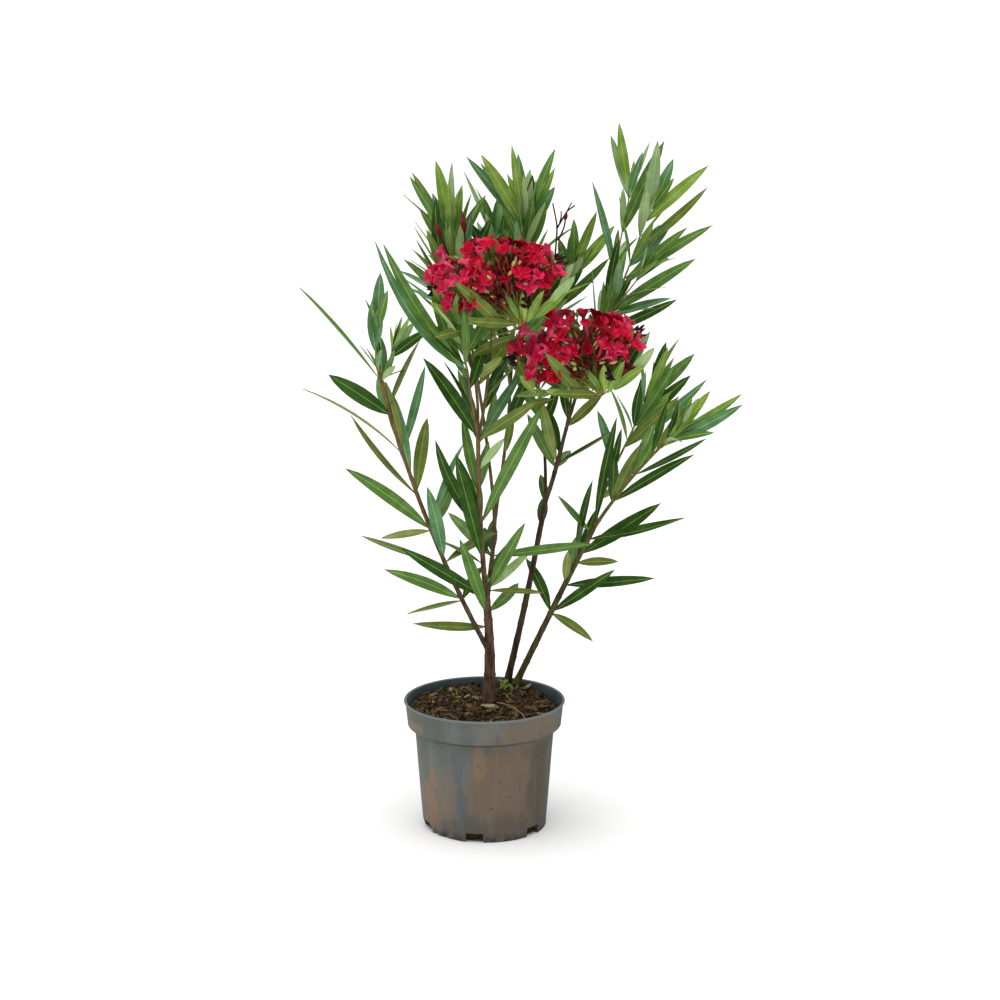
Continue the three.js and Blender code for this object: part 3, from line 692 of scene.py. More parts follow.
# More leaves of the sprays, on the limb or shoot named: the share of its length, then as above.
SPRAYS = {
    "rear_left_shoot": [
        (1.0, -46, 0, 88, "edge", "teal"), (1.0, -35, 5, 102, "slim", "green"),
        (0.98, -29, -5, 108, "edge", "olive"), (0.97, -22, 8, 72, "face", "teal"),
        (1.0, -9, 4, 108, "face", "fresh"), (1.0, 2, 0, 106, "half", "pale"),
        (0.96, -3, -8, 86, "slim", "green"), (0.88, 25, 4, 90, "slim", "green"),
        (0.8, -30, 10, 88, "face", "green"), (0.7, 14, 12, 84, "face", "teal"),
        (0.62, -12, 10, 90, "face", "green"), (0.6, 30, -6, 96, "face", "dark")],
    "rear_right_shoot": [
        (1.0, -35, 4, 128, "face", "teal", -8), (0.98, -34, -8, 112, "slim", "green"),
        (1.0, -27, 8, 122, "face", "fresh"), (1.0, -10, 4, 118, "slim", "fresh"),
        (1.0, -6, -4, 103, "half", "teal"), (0.98, 0, 6, 86, "half", "pale"),
        (0.97, 7, 0, 80, "face", "dark"), (0.92, 19, 10, 78, "slim", "green"),
        (1.0, 24, 0, 92, "slim", "fresh"), (1.0, 17, -4, 116, "half", "green"),
        (0.96, 30, 4, 78, "face", "teal"), (0.8, -18, 12, 92, "face", "green"),
        (0.78, 24, 12, 86, "face", "green"), (0.7, 6, 14, 96, "face", "green")],
    "upper_inner_shoot": [
        (1.0, -13, 4, 97, "slim", "fresh"), (0.97, -15, 0, 88, "slim", "pale"),
        (0.98, 13, 4, 62, "slim", "teal"), (1.0, 23, 0, 75, "edge", "pale"),
        (0.74, 22, 6, 140, "face", "green"), (0.5, -15, 0, 120, "half", "teal"),
        (0.5, 3, 4, 52, "slim", "green"), (0.25, 8, 4, 90, "slim", "dark")],
    "upper_right_shoot": [
        (0.84, 13, 6, 118, "face", "pale"), (1.0, 28, 0, 74, "face", "teal"),
        (0.98, 40, 6, 56, "face", "green"), (0.88, 46, 4, 114, "face", "fresh"),
        (0.62, 56, 0, 125, "half", "olive"), (0.26, 45, 4, 120, "face", "green"),
        (0.45, 45, -4, 82, "face", "teal"), (0.33, 54, 8, 138, "face", "green"),
        (0.3, 58, 0, 76, "edge", "pale")],
    "upper_right_bough": [
        (1.0, 54, 6, 134, "face", "green"), (0.97, 72, 0, 86, "half", "teal"),
        (0.85, 67, 4, 112, "slim", "dark"), (0.84, 16, 6, 124, "face", "green"),
        (0.8, -4, 0, 98, "edge", "teal"), (0.06, -12, -10, 64, "face", "dark")],
    "middle_inner_sprig": [
        (1.0, 19, 0, 94, "slim", "fresh"), (1.0, 5, 4, 76, "face", "green"),
        (0.98, 41, 4, 90, "face", "fresh"), (0.35, 52, 4, 114, "slim", "green"),
        (0.96, -18, 0, 56, "face", "green"), (0.98, 2, 0, 56, "face", "green"),
        (0.7, 30, -10, 70, "face", "dark")],
    "right_flower_branch": [
        (0.4, 48, 10, 70, "face", "olive"), (0.48, -10, -10, 62, "face", "dark")],
    "middle_rear_branch": [(0.7, 20, -10, 72, "face", "dark"), (0.8, -26, -10, 70, "face", "green")],
    "right_rear_shoot": [
        (0.3, -21, 0, 50, "edge", "teal"), (0.35, 4, 6, 62, "face", "dark"),
        (0.35, 35, 4, 101, "face", "green"), (0.36, 46, -8, 104, "face", "dark"),
        (0.35, 46, -4, 76, "face", "fresh"), (0.7, 26, 0, 88, "face", "fresh", 8),
        (1.0, 20, 0, 66, "face", "dark"), (0.8, 46, 0, 92, "face", "green"),
        (1.0, 26, -10, 76, "edge", "olive")],
    "right_front_shoot": [
        (0.1, 43, 4, 88, "face", "fresh")],
    "right_front_branch": [
        (0.95, 57, 4, 128, "slim", "fresh"), (1.0, 68, 0, 114, "face", "teal"),
        (0.9, 36, 10, 78, "face", "olive"), (0.85, 20, -6, 72, "edge", "dark")],
    "front_middle_shoot": [
        (0.9, -22, 0, 112, "face", "dark", 26), (0.8, -11, -4, 84, "face", "fresh"),
        (0.6, -40, 4, 96, "edge", "green", 20), (0.5, 20, -10, 84, "face", "green")],
    "front_left_shoot": [(0.6, -30, 10, 34, "back", "pale"), (0.3, 30, -10, 70, "face", "green")],
    "front_middle_branch": [
        (0.55, 48, 18, 52, "back", "olive"), (0.78, 62, 10, 70, "face", "olive"),
        (0.6, -17, 0, 52, "edge", "green"), (0.12, -22, -6, 80, "edge", "green")],
    "front_left_branch": [(0.3, -27, 0, 80, "edge", "dark"), (0.7, 20, -20, 70, "face", "dark")],
    "front_flower_branch": [
        (0.3, 45, 4, 60, "edge", "green"), (0.34, 36, -10, 64, "edge", "dark"),
        (0.5, -24, -12, 60, "face", "green")],
    "rear_left_branch": [
        (0.75, 30, -10, 90, "face", "olive"), (0.85, -30, 0, 84, "face", "green"),
        (0.95, 42, 0, 80, "face", "green"), (0.6, 24, -20, 86, "face", "dark"),
        (0.45, 10, -10, 62, "face", "olive")],
    "rear_right_branch": [
        (0.8, -35, 0, 86, "face", "green"), (0.9, -16, -6, 80, "face", "dark"),
        (0.75, 32, 0, 84, "face", "olive"), (0.95, 44, 0, 72, "face", "green"),
        (0.5, 18, -6, 88, "face", "dark"), (0.36, 12, -8, 56, "face", "olive")],
    "left_outer_shoot": [
        (0.5, -6, 10, 68, "face", "teal"), (1.0, 5, 4, 74, "face", "teal"),
        (0.95, 15, 12, 60, "face", "green"), (0.6, 20, -8, 40, "edge", "pale", 20),
        (0.7, -5, 14, 42, "half", "olive")],
    "left_inner_shoot": [
        (1.0, 27, -4, 52, "half", "fresh"), (1.0, 38, 4, 46, "face", "pale"),
        (0.8, 49, 8, 62, "face", "dark")],
    "rear_middle_shoot": [
        (1.0, -24, 0, 114, "edge", "pale"), (1.0, -19, 6, 74, "face", "green"),
        (0.95, -4, -4, 78, "face", "teal"), (0.9, 10, 6, 72, "face", "green"),
        (0.85, -30, 4, 82, "face", "dark"), (0.8, 2, 12, 90, "face", "green")],
    "right_rear_branch": [
        (1.0, 47, 6, 104, "face", "olive"), (1.0, 54, 0, 148, "face", "teal", 8)],
}

# The shades of a leaf: two near colours, 0 to 255, for its face, for its midrib and for its back.
SHADES = {
    "dark": (((38, 70, 14), (54, 90, 26)), ((118, 148, 76), (132, 162, 90)),
             ((86, 116, 54), (100, 130, 66))),
    "green": (((72, 112, 38), (94, 131, 56)), ((142, 170, 96), (156, 184, 110)),
              ((98, 132, 56), (114, 146, 72))),
    "pale": (((124, 154, 98), (148, 176, 124)), ((168, 188, 130), (182, 202, 144)),
             ((140, 168, 106), (160, 184, 128))),
    "olive": (((86, 106, 28), (106, 122, 44)), ((148, 158, 90), (162, 172, 104)),
              ((116, 132, 64), (136, 150, 84))),
    "fresh": (((108, 142, 44), (134, 164, 72)), ((168, 188, 90), (182, 202, 104)),
              ((128, 158, 66), (146, 172, 84))),
    "teal": (((70, 116, 66), (94, 138, 90)), ((142, 178, 124), (156, 192, 138)),
             ((106, 150, 100), (126, 166, 120))),
}
SHADE_NUMBER = {shade_name: 3 * i for i, shade_name in enumerate(SHADES)}

# How often each shade is dealt to the leaves of a spray, lower leaves first.
TINTS = {
    "summer": (["dark", "green", "green", "teal"], ["green", "green", "pale", "fresh"]),
    "fresh": (["dark", "green", "pale", "green", "teal"], ["green", "fresh", "fresh", "pale", "pale"]),
    "light": (["green", "teal", "pale", "green", "teal"], ["green", "fresh", "pale", "pale", "teal"]),
}


def leaf_materials():
    materials = []
    for shade_name, (face, rib, back) in SHADES.items():
        gloss = 0.12 if shade_name == "dark" else 0.26
        materials.append(mottled(shade_name + "_leaf_face", *face, 0.42, gloss=gloss))
        materials.append(mottled(shade_name + "_leaf_rib", *rib, 0.5, gloss=0.1))
        materials.append(mottled(shade_name + "_leaf_back", *back, 0.6, gloss=0.1))
    return materials


def leaf_template():
    """A leaf of length 1 on Z: margins at x = -1 and 1, midrib between x = -0.5 and 0.5,
    upper side at y > 0. Its faces are numbered 0 upper, 1 midrib, 2 back."""

    def side_number(middle):
        return 1 if abs(middle.x) < 0.2 else 2 if middle.y < 0 else 0

    return blade("leaf", cut_tube(6, LEAF["segments"], math.pi / 2), side_number)


LEAF_SHAPE = leaf_template()
ROLLED = {"half": 1.0, "edge": 0.32, "thin": 0.06}
BREADTH = {"broad": 1.22, "slim": 0.76}


def leaf_half_width(share):
    """The outline: a narrow stalk, widest near the middle, and a drawn-out point."""
    return max(LEAF["stalk"] * (1 - share), math.sin(math.pi * share**0.95) ** 0.7)


def across_of(direction, side):
    """The part of a direction that stands square to another."""
    return (side - direction * side.dot(direction)).normalized()


class Leaf:
    """One leaf: it starts at base, points along direction and turns its upper side to facing."""

    def __init__(self, base, direction, facing, length, draw, width=LEAF["width"]):
        self.base = base
        self.along = direction.normalized()
        self.up = across_of(self.along, facing)
        self.side = self.along.cross(self.up)
        self.length = length
        slim = min(1.0, length / (LEAF["full"] * MM)) ** 0.5
        self.half = width * MM / 2 * slim * (1 + LEAF["uneven"] * draw.uniform(-1, 1))
        self.bend = math.radians(draw.uniform(*LEAF["bend"]))
        self.sickle = math.radians(draw.uniform(*LEAF["sickle"]))
        self.twist = math.radians(draw.uniform(*LEAF["twist"]))
        self.fold = LEAF["fold"] * draw.uniform(*LEAF["folds"])

    def place(self, co):
        t = co.z
        angle = self.bend * t
        way = self.length * t
        spot = self.base + self.along * (way * math.cos(angle / 2))
        spot += self.side * (way * math.sin(self.sickle * t / 2)) - self.up * (way * math.sin(angle / 2))
        up = self.up * math.cos(angle) + self.along * math.sin(angle)
        turn = Matrix.Rotation(self.twist * t, 3, self.along)
        up, side = turn @ up, turn @ self.side
        half = self.half * leaf_half_width(t)
        if abs(co.y) < 0.1:
            return spot + side * math.copysign(half, co.x) + up * (self.fold * half)
        rib = min(LEAF["rib"] * MM / 2, half * 0.6)
        thick = LEAF["thick"] * MM * (1 if co.y > 0 else -LEAF["rib_below"])
        return spot + side * math.copysign(rib, co.x) + up * thick


def add_leaf(batch, leaf, shade_name):
    batch.add(LEAF_SHAPE, leaf.place, SHADE_NUMBER[shade_name])


def leaning(lean, toward):
    """A direction by its lean from upright, to the right, and its turn towards the front."""
    lean, toward = math.radians(lean), math.radians(toward)
    level = math.cos(toward)
    return Vector((math.sin(lean) * level, -math.sin(toward), math.cos(lean) * level))


def facing_of(roll, direction):
    """Which way a leaf's upper side looks: to the front or the back, half turned, or nearly edge on."""
    if roll in ROLLED:
        return across_of(direction, UP) + FRONT * ROLLED[roll]
    return (-FRONT if roll == "back" else FRONT) + UP * 0.35


def add_set_leaf(batch, line, at, row, draw):
    """A listed leaf: its foot is on a limb, at a share of the limb's length."""
    lean, toward, length, roll, shade_name, *rise = row
    direction = leaning(lean, toward)
    base = line.point(at) + across_of(line.along(at), direction) * (line.radius(at) * 0.8)
    width = LEAF["width"] * BREADTH.get(roll, 1)
    leaf = Leaf(base, direction, facing_of(roll, direction), length * MM, draw, width)
    if rise and roll in ROLLED:
        leaf.bend = -math.radians(*rise)
    elif rise:
        leaf.sickle = math.radians(*rise) * (1 if (lean < 0) == (roll != "back") else -1)
    add_leaf(batch, leaf, shade_name)


def add_old_leaves(batch, whorl, draw):
    limb, middle, rows = WHORLS[whorl]
    for step, *row in rows:
        add_set_leaf(batch, LINES[limb], middle + step, row, draw)


def add_whorl(batch, line, share, whorl, draw):
    """One whorl of a shoot, by the same rule as its CAD mass."""
    frame_there = line.frame(share)
    for k in range(whorl["leaves"]):
        seed = whorl["seed"] + SEED_STEP["leaf"] * k
        heading = math.radians(whorl["turn"] + 360 * k / LEAVES_PER_WHORL + JITTER["turn"] * uneven(seed))
        angle = math.radians(whorl["spread"] + JITTER["spread"] * uneven(seed + 1))
        outward, direction = splay(frame_there, heading, angle)
        length = whorl["length"] * MM * (1 + JITTER["length"] * uneven(seed + 2))
        facing = frame_there[0] - outward * 0.3
        roll = Matrix.Rotation(math.radians(draw.uniform(*JITTER["roll"])), 3, direction)
        base = line.point(share) + outward * line.radius(share)
        leaf = Leaf(base, direction, roll @ facing, length, draw, LEAF["young"])
        add_leaf(batch, leaf, draw.choice(whorl["shades"]))


def add_tip_leaves(batch, line, shoot, draw):
    """The small young leaves that close a shoot."""
    frame_there = line.frame(1)
    for k in range(shoot.tips):
        heading = math.radians(shoot.turn + TIP_LEAVES["turn"] * k)
        angle = math.radians(draw.uniform(*TIP_LEAVES["spread"]))
        outward, direction = splay(frame_there, heading, angle)
        length = draw.uniform(*TIP_LEAVES["length"]) * MM
        leaf = Leaf(line.point(0.99), direction, frame_there[0] - outward, length, draw)
        add_leaf(batch, leaf, draw.choice(["fresh", "fresh", "green"]))


for shoot in SHOOTS:
    shoot_foot = LINES[shoot.limb].point(shoot.at)
    LINES[shoot.name] = curve_line(shoot_foot, shoot.reach, shoot.bow, SHOOT_GIRTH)


def add_shoot(leaves, twigs, shoot, draw):
    line = LINES[shoot.name]
    lower, upper = TINTS[shoot.tint]
    for half in range(2 * shoot.whorls - 1):
        w = half / 2
        rise = w / (shoot.whorls - 1)
        whorl = {
            "leaves": LEAVES_PER_WHORL if half % 2 == 0 else shoot.extra,
            "seed": shoot.turn + SEED_STEP["whorl"] * w,
            "turn": shoot.turn + w * 180 / LEAVES_PER_WHORL,
            "spread": lerp(*shoot.spread, rise),
            "length": lerp(*shoot.leaf, rise),
            "shades": lower if rise < 0.45 else upper,
        }
        add_whorl(leaves, line, lerp(*LEAFY, rise**CROWDING), whorl, draw)
    add_tip_leaves(leaves, line, shoot, draw)
    add_tube(twigs, unit_tube(8, 24), line)


REGIONS = {"left": ["left"], "front": ["main", "front"], "rear": ["rear"], "middle": ["middle", "upper"],
           "right": ["right"]}


def make_leaves(materials):
    twigs = Batch()
    for number, (region, first_words) in enumerate(REGIONS.items()):
        draw = random.Random(100 + number)
        leaves = Batch()
        nodes = []
        for whorl in WHORLS:
            if whorl.split("_")[0] in first_words:
                add_old_leaves(leaves, whorl, draw)
                nodes.append(whorl)
        for shoot in SHOOTS:
            if shoot.name.split("_")[0] in first_words:
                add_shoot(leaves, twigs, shoot, draw)
                nodes.append(shoot.name)
        for limb, rows in SPRAYS.items():
            if limb.split("_")[0] in first_words:
                for at, *row in rows:
                    add_set_leaf(leaves, LINES[limb], at, row, draw)
        replaced = [node for node in nodes if node in NODES]
        add_piece(region + "_leaves", leaves.finish(), materials, replaced)
    green = mottled("green_twig", (104, 120, 52), (128, 130, 66), 0.55)
    add_piece("twigs", twigs.finish(), [green])


# ---------------------------------------------------------------- flower heads

# Each head is a loose dome of blooms over a fork of stalks. Places are millimetres from the middle
# of the head: to the right, up. The depth follows from the dome, and the rear repeats the front.
DOME = {"across": 97, "deep": 72, "up": 50, "filled": 0.86, "lift": 0.2}
HEAD_SHIFT = {"left_flower_head": (9, 0, -5), "right_flower_head": (0, 0, -5)}
BLOOM_ROOT = (12, 6, -24)  # where the lines of the flower tubes meet: right, back, up
FORK = (35, -26, -58)
REAR_FORK = (4, 8, -52)
CROWN = {"rows": (-30, -4, 24), "count": 9, "reach": 76, "up": 22, "drop": 10, "buds": 8}
TRUSS = {"flowers": 6, "knot": (0.4, 0.66), "bend": 3, "thick": (1.6, 2.2), "thin": (1.2, 1.9)}
BUD_LAYERS = 4
BLOOM = {"petal": 13, "width": 10.5, "cup": 8, "tube": 20, "throat": 2.6, "neck": 0.9, "petals": 5,
         "flat": 0.45, "stray": 0.35, "size": (0.8, 1.15), "spread": (24, 64), "stagger": (0.7, 1.25),
         "calyx": (0.9, 2.0, 1.2)}
PETAL = {"roll": (-25, 50), "hollow": (-0.1, 0.6), "wave": 0.26, "skew": (0.1, 0.35), "thick": 0.25}
BUD = {"stray": 0.4, "slender": (0.16, 0.28)}
BLOOMS = [
    (-84, 1, "crimson"), (-76, -4, "crimson"), (-69, 22, "rose"), (-63, -15, "rose"), (-50, -8, "rose"),
    (-35, 20, "rose"), (-17, 34, "rose"), (-8, 41, "crimson"), (-31, 33, "crimson"), (-21, 17, "crimson"),
    (-31, 3, "crimson"), (-16, -11, "rose"), (-7, -4, "crimson"), (-42, -2, "rose"), (-48, -40, "deep"),
    (-27, -37, "crimson"), (-34, -16, "crimson"), (-56, -28, "rose"), (13, 34, "crimson"), (31, 35, "deep"),
    (43, 33, "crimson"), (57, 34, "crimson"), (72, 34, "rose"), (65, 22, "crimson"), (52, 21, "crimson"),
    (39, 25, "deep"), (37, 6, "crimson"), (79, 8, "crimson"), (88, 10, "rose"), (68, -6, "crimson"),
    (57, 2, "rose"), (46, -9, "rose"), (16, -2, "deep"), (-40, -36, "crimson"), (-60, -36, "rose"),
]
# Buds and empty calyxes: right, up, length, colour.
BUDS = [
    (19, 27, 11, "brown"), (0, 31, 10, "olive"), (15, 13, 12, "maroon"), (7, -19, 12, "maroon"),
    (-1, 24, 10, "brown"), (-15, 6, 10, "cream"), (0, 2, 10, "cream"), (30, 16, 10, "cream"),
    (24, 6, 11, "cream"), (10, 4, 12, "maroon"), (17, -8, 12, "brown"), (-3, -23, 11, "cream"),
    (49, -13, 11, "cream"), (40, -4, 10, "maroon"), (29, -12, 12, "maroon"), (14, -34, 9, "brown"),
    (67, 8, 8, "olive"), (46, -34, 13, "black"), (38, -14, 8, "cream"), (-78, -15, 14, "black"),
    (-8, -12, 10, "maroon"), (67, -24, 14, "maroon"), (34, 24, 9, "brown"), (-19, -19, 10, "cream"),
    (88, 22, 9, "black"), (10, -36, 10, "olive"), (-42, -28, 8, "olive"), (5, -6, 10, "brown"),
    (22, 16, 10, "maroon"), (-16, -27, 8, "brown"), (30, -2, 10, "brown"), (3, -32, 11, "maroon"),
]
# Leaves about the fork: foot right, deep and up, lean, turn to the front, length, roll, shade.
HEAD_LEAVES = [
    (14, 26, -60, -42, 34, 104, "face", "olive"),
    (35, 26, -54, -32, 20, 56, "back", "green"),
    (40, 26, -54, -8, 30, 46, "edge", "fresh"),
    (44, 26, -54, 24, 26, 54, "face", "fresh"),
    (52, 26, -50, 44, 20, 58, "face", "fresh"),
    (67, 30, -42, 33, 14, 70, "back", "pale"),
    (30, 26, -56, -84, 30, 76, "face", "olive"),
    (-28, 26, -62, -100, 20, 52, "face", "olive"),
    (-50, 26, -54, -40, 30, 46, "face", "fresh"),
    (-62, 26, -38, -24, 24, 36, "face", "olive"),
    (-10, 26, -58, -66, 40, 46, "back", "fresh"),
    (30, 26, -46, -50, -40, 70, "face", "olive"),
    (30, 26, -46, 40, -50, 74, "face", "green"),
    (-6, 26, -44, -120, -50, 64, "face", "green"),
    (6, 20, -52, -14, -20, 66, "face", "olive"),
    (24, 20, -52, 16, -25, 62, "face", "green"),
    (-2, 20, -50, -34, -12, 70, "face", "dark"),
    (44, 20, -48, 36, -22, 62, "face", "olive"),
    (14, 10, -50, 2, -10, 74, "face", "dark"),
    (-20, 8, -44, -20, 4, 72, "face", "dark"),
    (34, 6, -48, 22, 2, 78, "face", "green"),
    (54, 12, -42, 34, 4, 66, "face", "dark"),
    (-44, 10, -40, -30, 6, 58, "face", "green"),
    (2, 4, -46, -4, 0, 84, "edge", "green"),
    (-6, 3, -46, 0, 0, 98, "face", "green"),
    (12, 5, -46, 7, 0, 92, "face", "dark"),
    (66, 4, -30, 8, 0, 66, "face", "olive"),
]
# A petal's two colours and the paler one of its streaks and its back.
PETAL_SHADES = {
    "crimson": ((182, 4, 38), (204, 14, 58), (208, 58, 86)),
    "rose": ((206, 16, 66), (222, 50, 98), (224, 100, 128)),
    "deep": ((122, 2, 16), (156, 6, 32), (150, 22, 40)),
}
PETAL_NUMBER = {petal_shade: 2 * i for i, petal_shade in enumerate(PETAL_SHADES)}
BUD_SHADES = {
    "maroon": ((84, 22, 26), (120, 40, 40)),
    "brown": ((70, 40, 26), (104, 66, 40)),
    "cream": ((176, 150, 84), (202, 180, 118)),
    "olive": ((104, 112, 42), (132, 132, 62)),
    "black": ((34, 14, 20), (62, 26, 34)),
}
BUD_NUMBER = {bud_shade: i for i, bud_shade in enumerate(BUD_SHADES)}
# Spent stalks behind the left head: points to the right, back and up, and a thickness.
SPENT_STALKS = [
    ([(80, 30, 20), (82, 32, 45), (83, 34, 62), (80, 34, 78), (77, 34, 92)], 2.6),
    ([(83, 34, 60), (90, 36, 72), (96, 36, 82), (106, 38, 89)], 2.6),
    ([(95, 36, 80), (98, 36, 86), (102, 36, 93)], 2.0),
    ([(84, 30, 44), (88, 30, 52), (92, 30, 62), (94, 30, 76)], 2.6),
    ([(86, 34, 66), (88, 34, 74), (88, 34, 82)], 2.2),
    ([(-52, 30, 14), (-60, 32, 30), (-68, 34, 46), (-75, 34, 58)], 2.6),
    ([(-36, 30, 34), (-37, 32, 52), (-39, 34, 76)], 2.6),
]
# Dry pods on them: foot, reach and thickness.
SPENT_PODS = [((-68, 34, 46), (-7, 0, 22), 4), ((-37, 33, 54), (-3, 0, 26), 4.4),
              ((93, 30, 70), (2, 0, 12), 2.8)]


def petal_template():
    """A petal of length 1 on Z, with its face at y > 0, numbered 0, and its back 1."""
    return blade("petal", cut_tube(8, 6), lambda middle: int(middle.y < 0))


PETAL_SHAPE = petal_template()
TUBE_SHAPE = unit_tube(7, 5)
STALK_SHAPE = unit_tube(5, 8)


def petal_half_width(t):
    """Narrow at the throat, widest past the middle, blunt at the end."""
    if t < 0.62:
        return 0.26 + 0.74 * math.sin(math.pi / 2 * t / 0.62)
    return math.sqrt(max(0.05, 1 - ((t - 0.62) / 0.39) ** 2))


def add_petal(batch, base, direction, inner, size, number, draw):
    """One petal: cupped, its end rolled out, its edge waved."""
    along = direction.normalized()
    up = across_of(along, inner)
    side = along.cross(up)
    length = BLOOM["petal"] * MM * size
    half = BLOOM["width"] * MM * size / 2
    roll = math.radians(draw.uniform(*PETAL["roll"]))
    hollow = draw.uniform(*PETAL["hollow"])
    wave = draw.uniform(0, 6)
    skew = draw.uniform(*PETAL["skew"])

    def place(co):
        t = co.z
        angle = roll * t * t
        spot = base + (along * math.cos(angle / 2) - up * math.sin(angle / 2)) * (length * t)
        width = half * petal_half_width(t)
        lift = width * (hollow * co.x * co.x + PETAL["wave"] * t * math.sin(3.1 * co.x + wave))
        across = side * (co.x * width + skew * half * t)
        return spot + across + up * (lift + co.y * PETAL["thick"] * MM)

    batch.add(PETAL_SHAPE, place, number)


def add_round(batch, template, start, end, radii, number):
    """A straight round shape between two places, its radius lerped through a list of radii."""
    line = Line([start, start.lerp(end, 0.5), end], (0, 0))
    _, right, back = line.frame(0.5)
    last = len(radii) - 1

    def place(co):
        step = min(int(co.z * last), last - 1)
        radius = lerp(radii[step], radii[step + 1], co.z * last - step) * MM
        return start.lerp(end, co.z) + (right * co.x + back * co.y) * radius

    batch.add(template, place, number)


def add_stalk(batch, points, thickness, number):
    """A thin stalk along a line of places, a little thinner at its end."""
    add_tube(batch, STALK_SHAPE, Line(points, (thickness / 2 * MM, thickness / 2.6 * MM)), number)


def dome_depth(across, up):
    """How far the dome reaches to the front, in millimetres, at a place across and up."""
    left = 1 - (across / DOME["across"]) ** 2 - (max(up, -12) / DOME["up"]) ** 2
    return DOME["deep"] * DOME["filled"] * math.sqrt(max(0.04, left))


class Head:
    """The places of one flower head, given as millimetres right, back and up from its middle."""

    def __init__(self, node, branch):
        low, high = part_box(node)
        self.centre = (low + high) / 2 + Vector(HEAD_SHIFT[node]) * MM
        self.centre.z = lerp(low.z, high.z, 1 / 3)
        self.branch = LINES[branch]

    def at(self, right, back, up):
        return self.centre + Vector((right, back, up)) * MM

    def outward(self, spot, stray, draw):
        """The way that a bloom or a bud at a place points, give or take a stray amount."""
        out = spot - self.at(*BLOOM_ROOT)
        out.y *= BLOOM["flat"]
        return (out.normalized() + Vector([draw.uniform(-stray, stray) for _ in range(3)])).normalized()


def add_bloom(blossom, stalks, head, spot, shade_name, draw):
    """Five petals at the end of a tube on a calyx. Gives the foot of the calyx back."""
    out = head.outward(spot, BLOOM["stray"], draw)
    size = draw.uniform(*BLOOM["size"])
    throat = spot - out * (BLOOM["cup"] * MM)
    calyx = throat - out * (BLOOM["tube"] * MM)
    number = PETAL_NUMBER[shade_name]
    radii = (BLOOM["neck"], 1.3, BLOOM["throat"])
    add_round(blossom, TUBE_SHAPE, calyx, throat + out * MM, radii, number + 1)
    spread = math.radians(draw.uniform(*BLOOM["spread"]))
    first = draw.uniform(0, 6.3)
    right = out.orthogonal().normalized()
    back = out.cross(right)
    for k in range(BLOOM["petals"]):
        turn = first + 2 * math.pi * k / BLOOM["petals"]
        lean = spread * draw.uniform(*BLOOM["stagger"])
        outward, direction = splay((out, right, back), turn, lean)
        base = throat + outward * (BLOOM["throat"] * 0.8 * MM)
        add_petal(blossom, base, direction, out - outward * 0.4, size, number, draw)
    number = BUD_NUMBER[draw.choice(["cream", "maroon", "brown", "maroon"])]
    below, above = calyx - out * (3 * MM), calyx + out * (5 * MM)
    add_round(stalks, TUBE_SHAPE, below, above, BLOOM["calyx"], number)
    return calyx


def add_truss(stalks, fork, feet, draw):
    """Stalks that branch twice: thick ones from the fork to the knots, thin ones on to the flowers."""
    stray = TRUSS["bend"]
    feet.sort(key=lambda foot: math.atan2(foot.x - fork.x, foot.z - fork.z))
    for first in range(0, len(feet), TRUSS["flowers"]):
        group = feet[first:first + TRUSS["flowers"]]
        middle = sum(group, Vector()) / len(group)
        knot = fork.lerp(middle, draw.uniform(*TRUSS["knot"]))
        bend = fork.lerp(knot, 0.5) + Vector([draw.uniform(-stray, stray) for _ in range(3)]) * MM
        add_stalk(stalks, [fork, bend, knot], draw.uniform(*TRUSS["thick"]), BUD_NUMBER["olive"])
        for foot in group:
            rise, aside = draw.uniform(-1, 4), draw.uniform(-stray, stray)
            bend = knot.lerp(foot, 0.5) + Vector((aside, 0, rise)) * MM
            tint = draw.choice(["olive", "maroon", "brown", "maroon"])
            add_stalk(stalks, [knot, bend, foot], draw.uniform(*TRUSS["thin"]), BUD_NUMBER[tint])


def add_bud(stalks, head, spot, length, tint, draw):
    """A bud or an empty calyx that points out of the head. Gives its foot back."""
    out = head.outward(spot, BUD["stray"], draw)
    thick = length * draw.uniform(*BUD["slender"])
    radii = (thick * 0.5, thick, thick * 0.8, 0.3)
    foot = spot - out * (length / 2 * MM)
    add_round(stalks, TUBE_SHAPE, foot, spot + out * (length / 2 * MM), radii, BUD_NUMBER[tint])
    return foot


def add_crown(head, blossom, stalks, draw):
    """Rows of blooms over the top of a head, between its front and its rear."""
    feet = []
    for deep in CROWN["rows"]:
        for k in range(CROWN["count"]):
            across = lerp(-1, 1, k / (CROWN["count"] - 1))
            up = CROWN["up"] - CROWN["drop"] * across * across + draw.uniform(-7, 0)
            aside, back = draw.uniform(-6, 6), draw.uniform(-6, 6)
            spot = head.at(across * CROWN["reach"] + aside, deep + back, up)
            shade_name = draw.choice(["crimson", "rose", "deep", "crimson"])
            feet.append(add_bloom(blossom, stalks, head, spot, shade_name, draw))
        for _ in range(CROWN["buds"]):
            spot = head.at(draw.uniform(-1, 1) * CROWN["reach"], deep + draw.uniform(-9, 9), CROWN["up"])
            tint = draw.choice(["maroon", "brown", "cream", "olive"])
            feet.append(add_bud(stalks, head, spot, draw.uniform(9, 13), tint, draw))
    add_truss(stalks, head.at(*REAR_FORK), feet, draw)


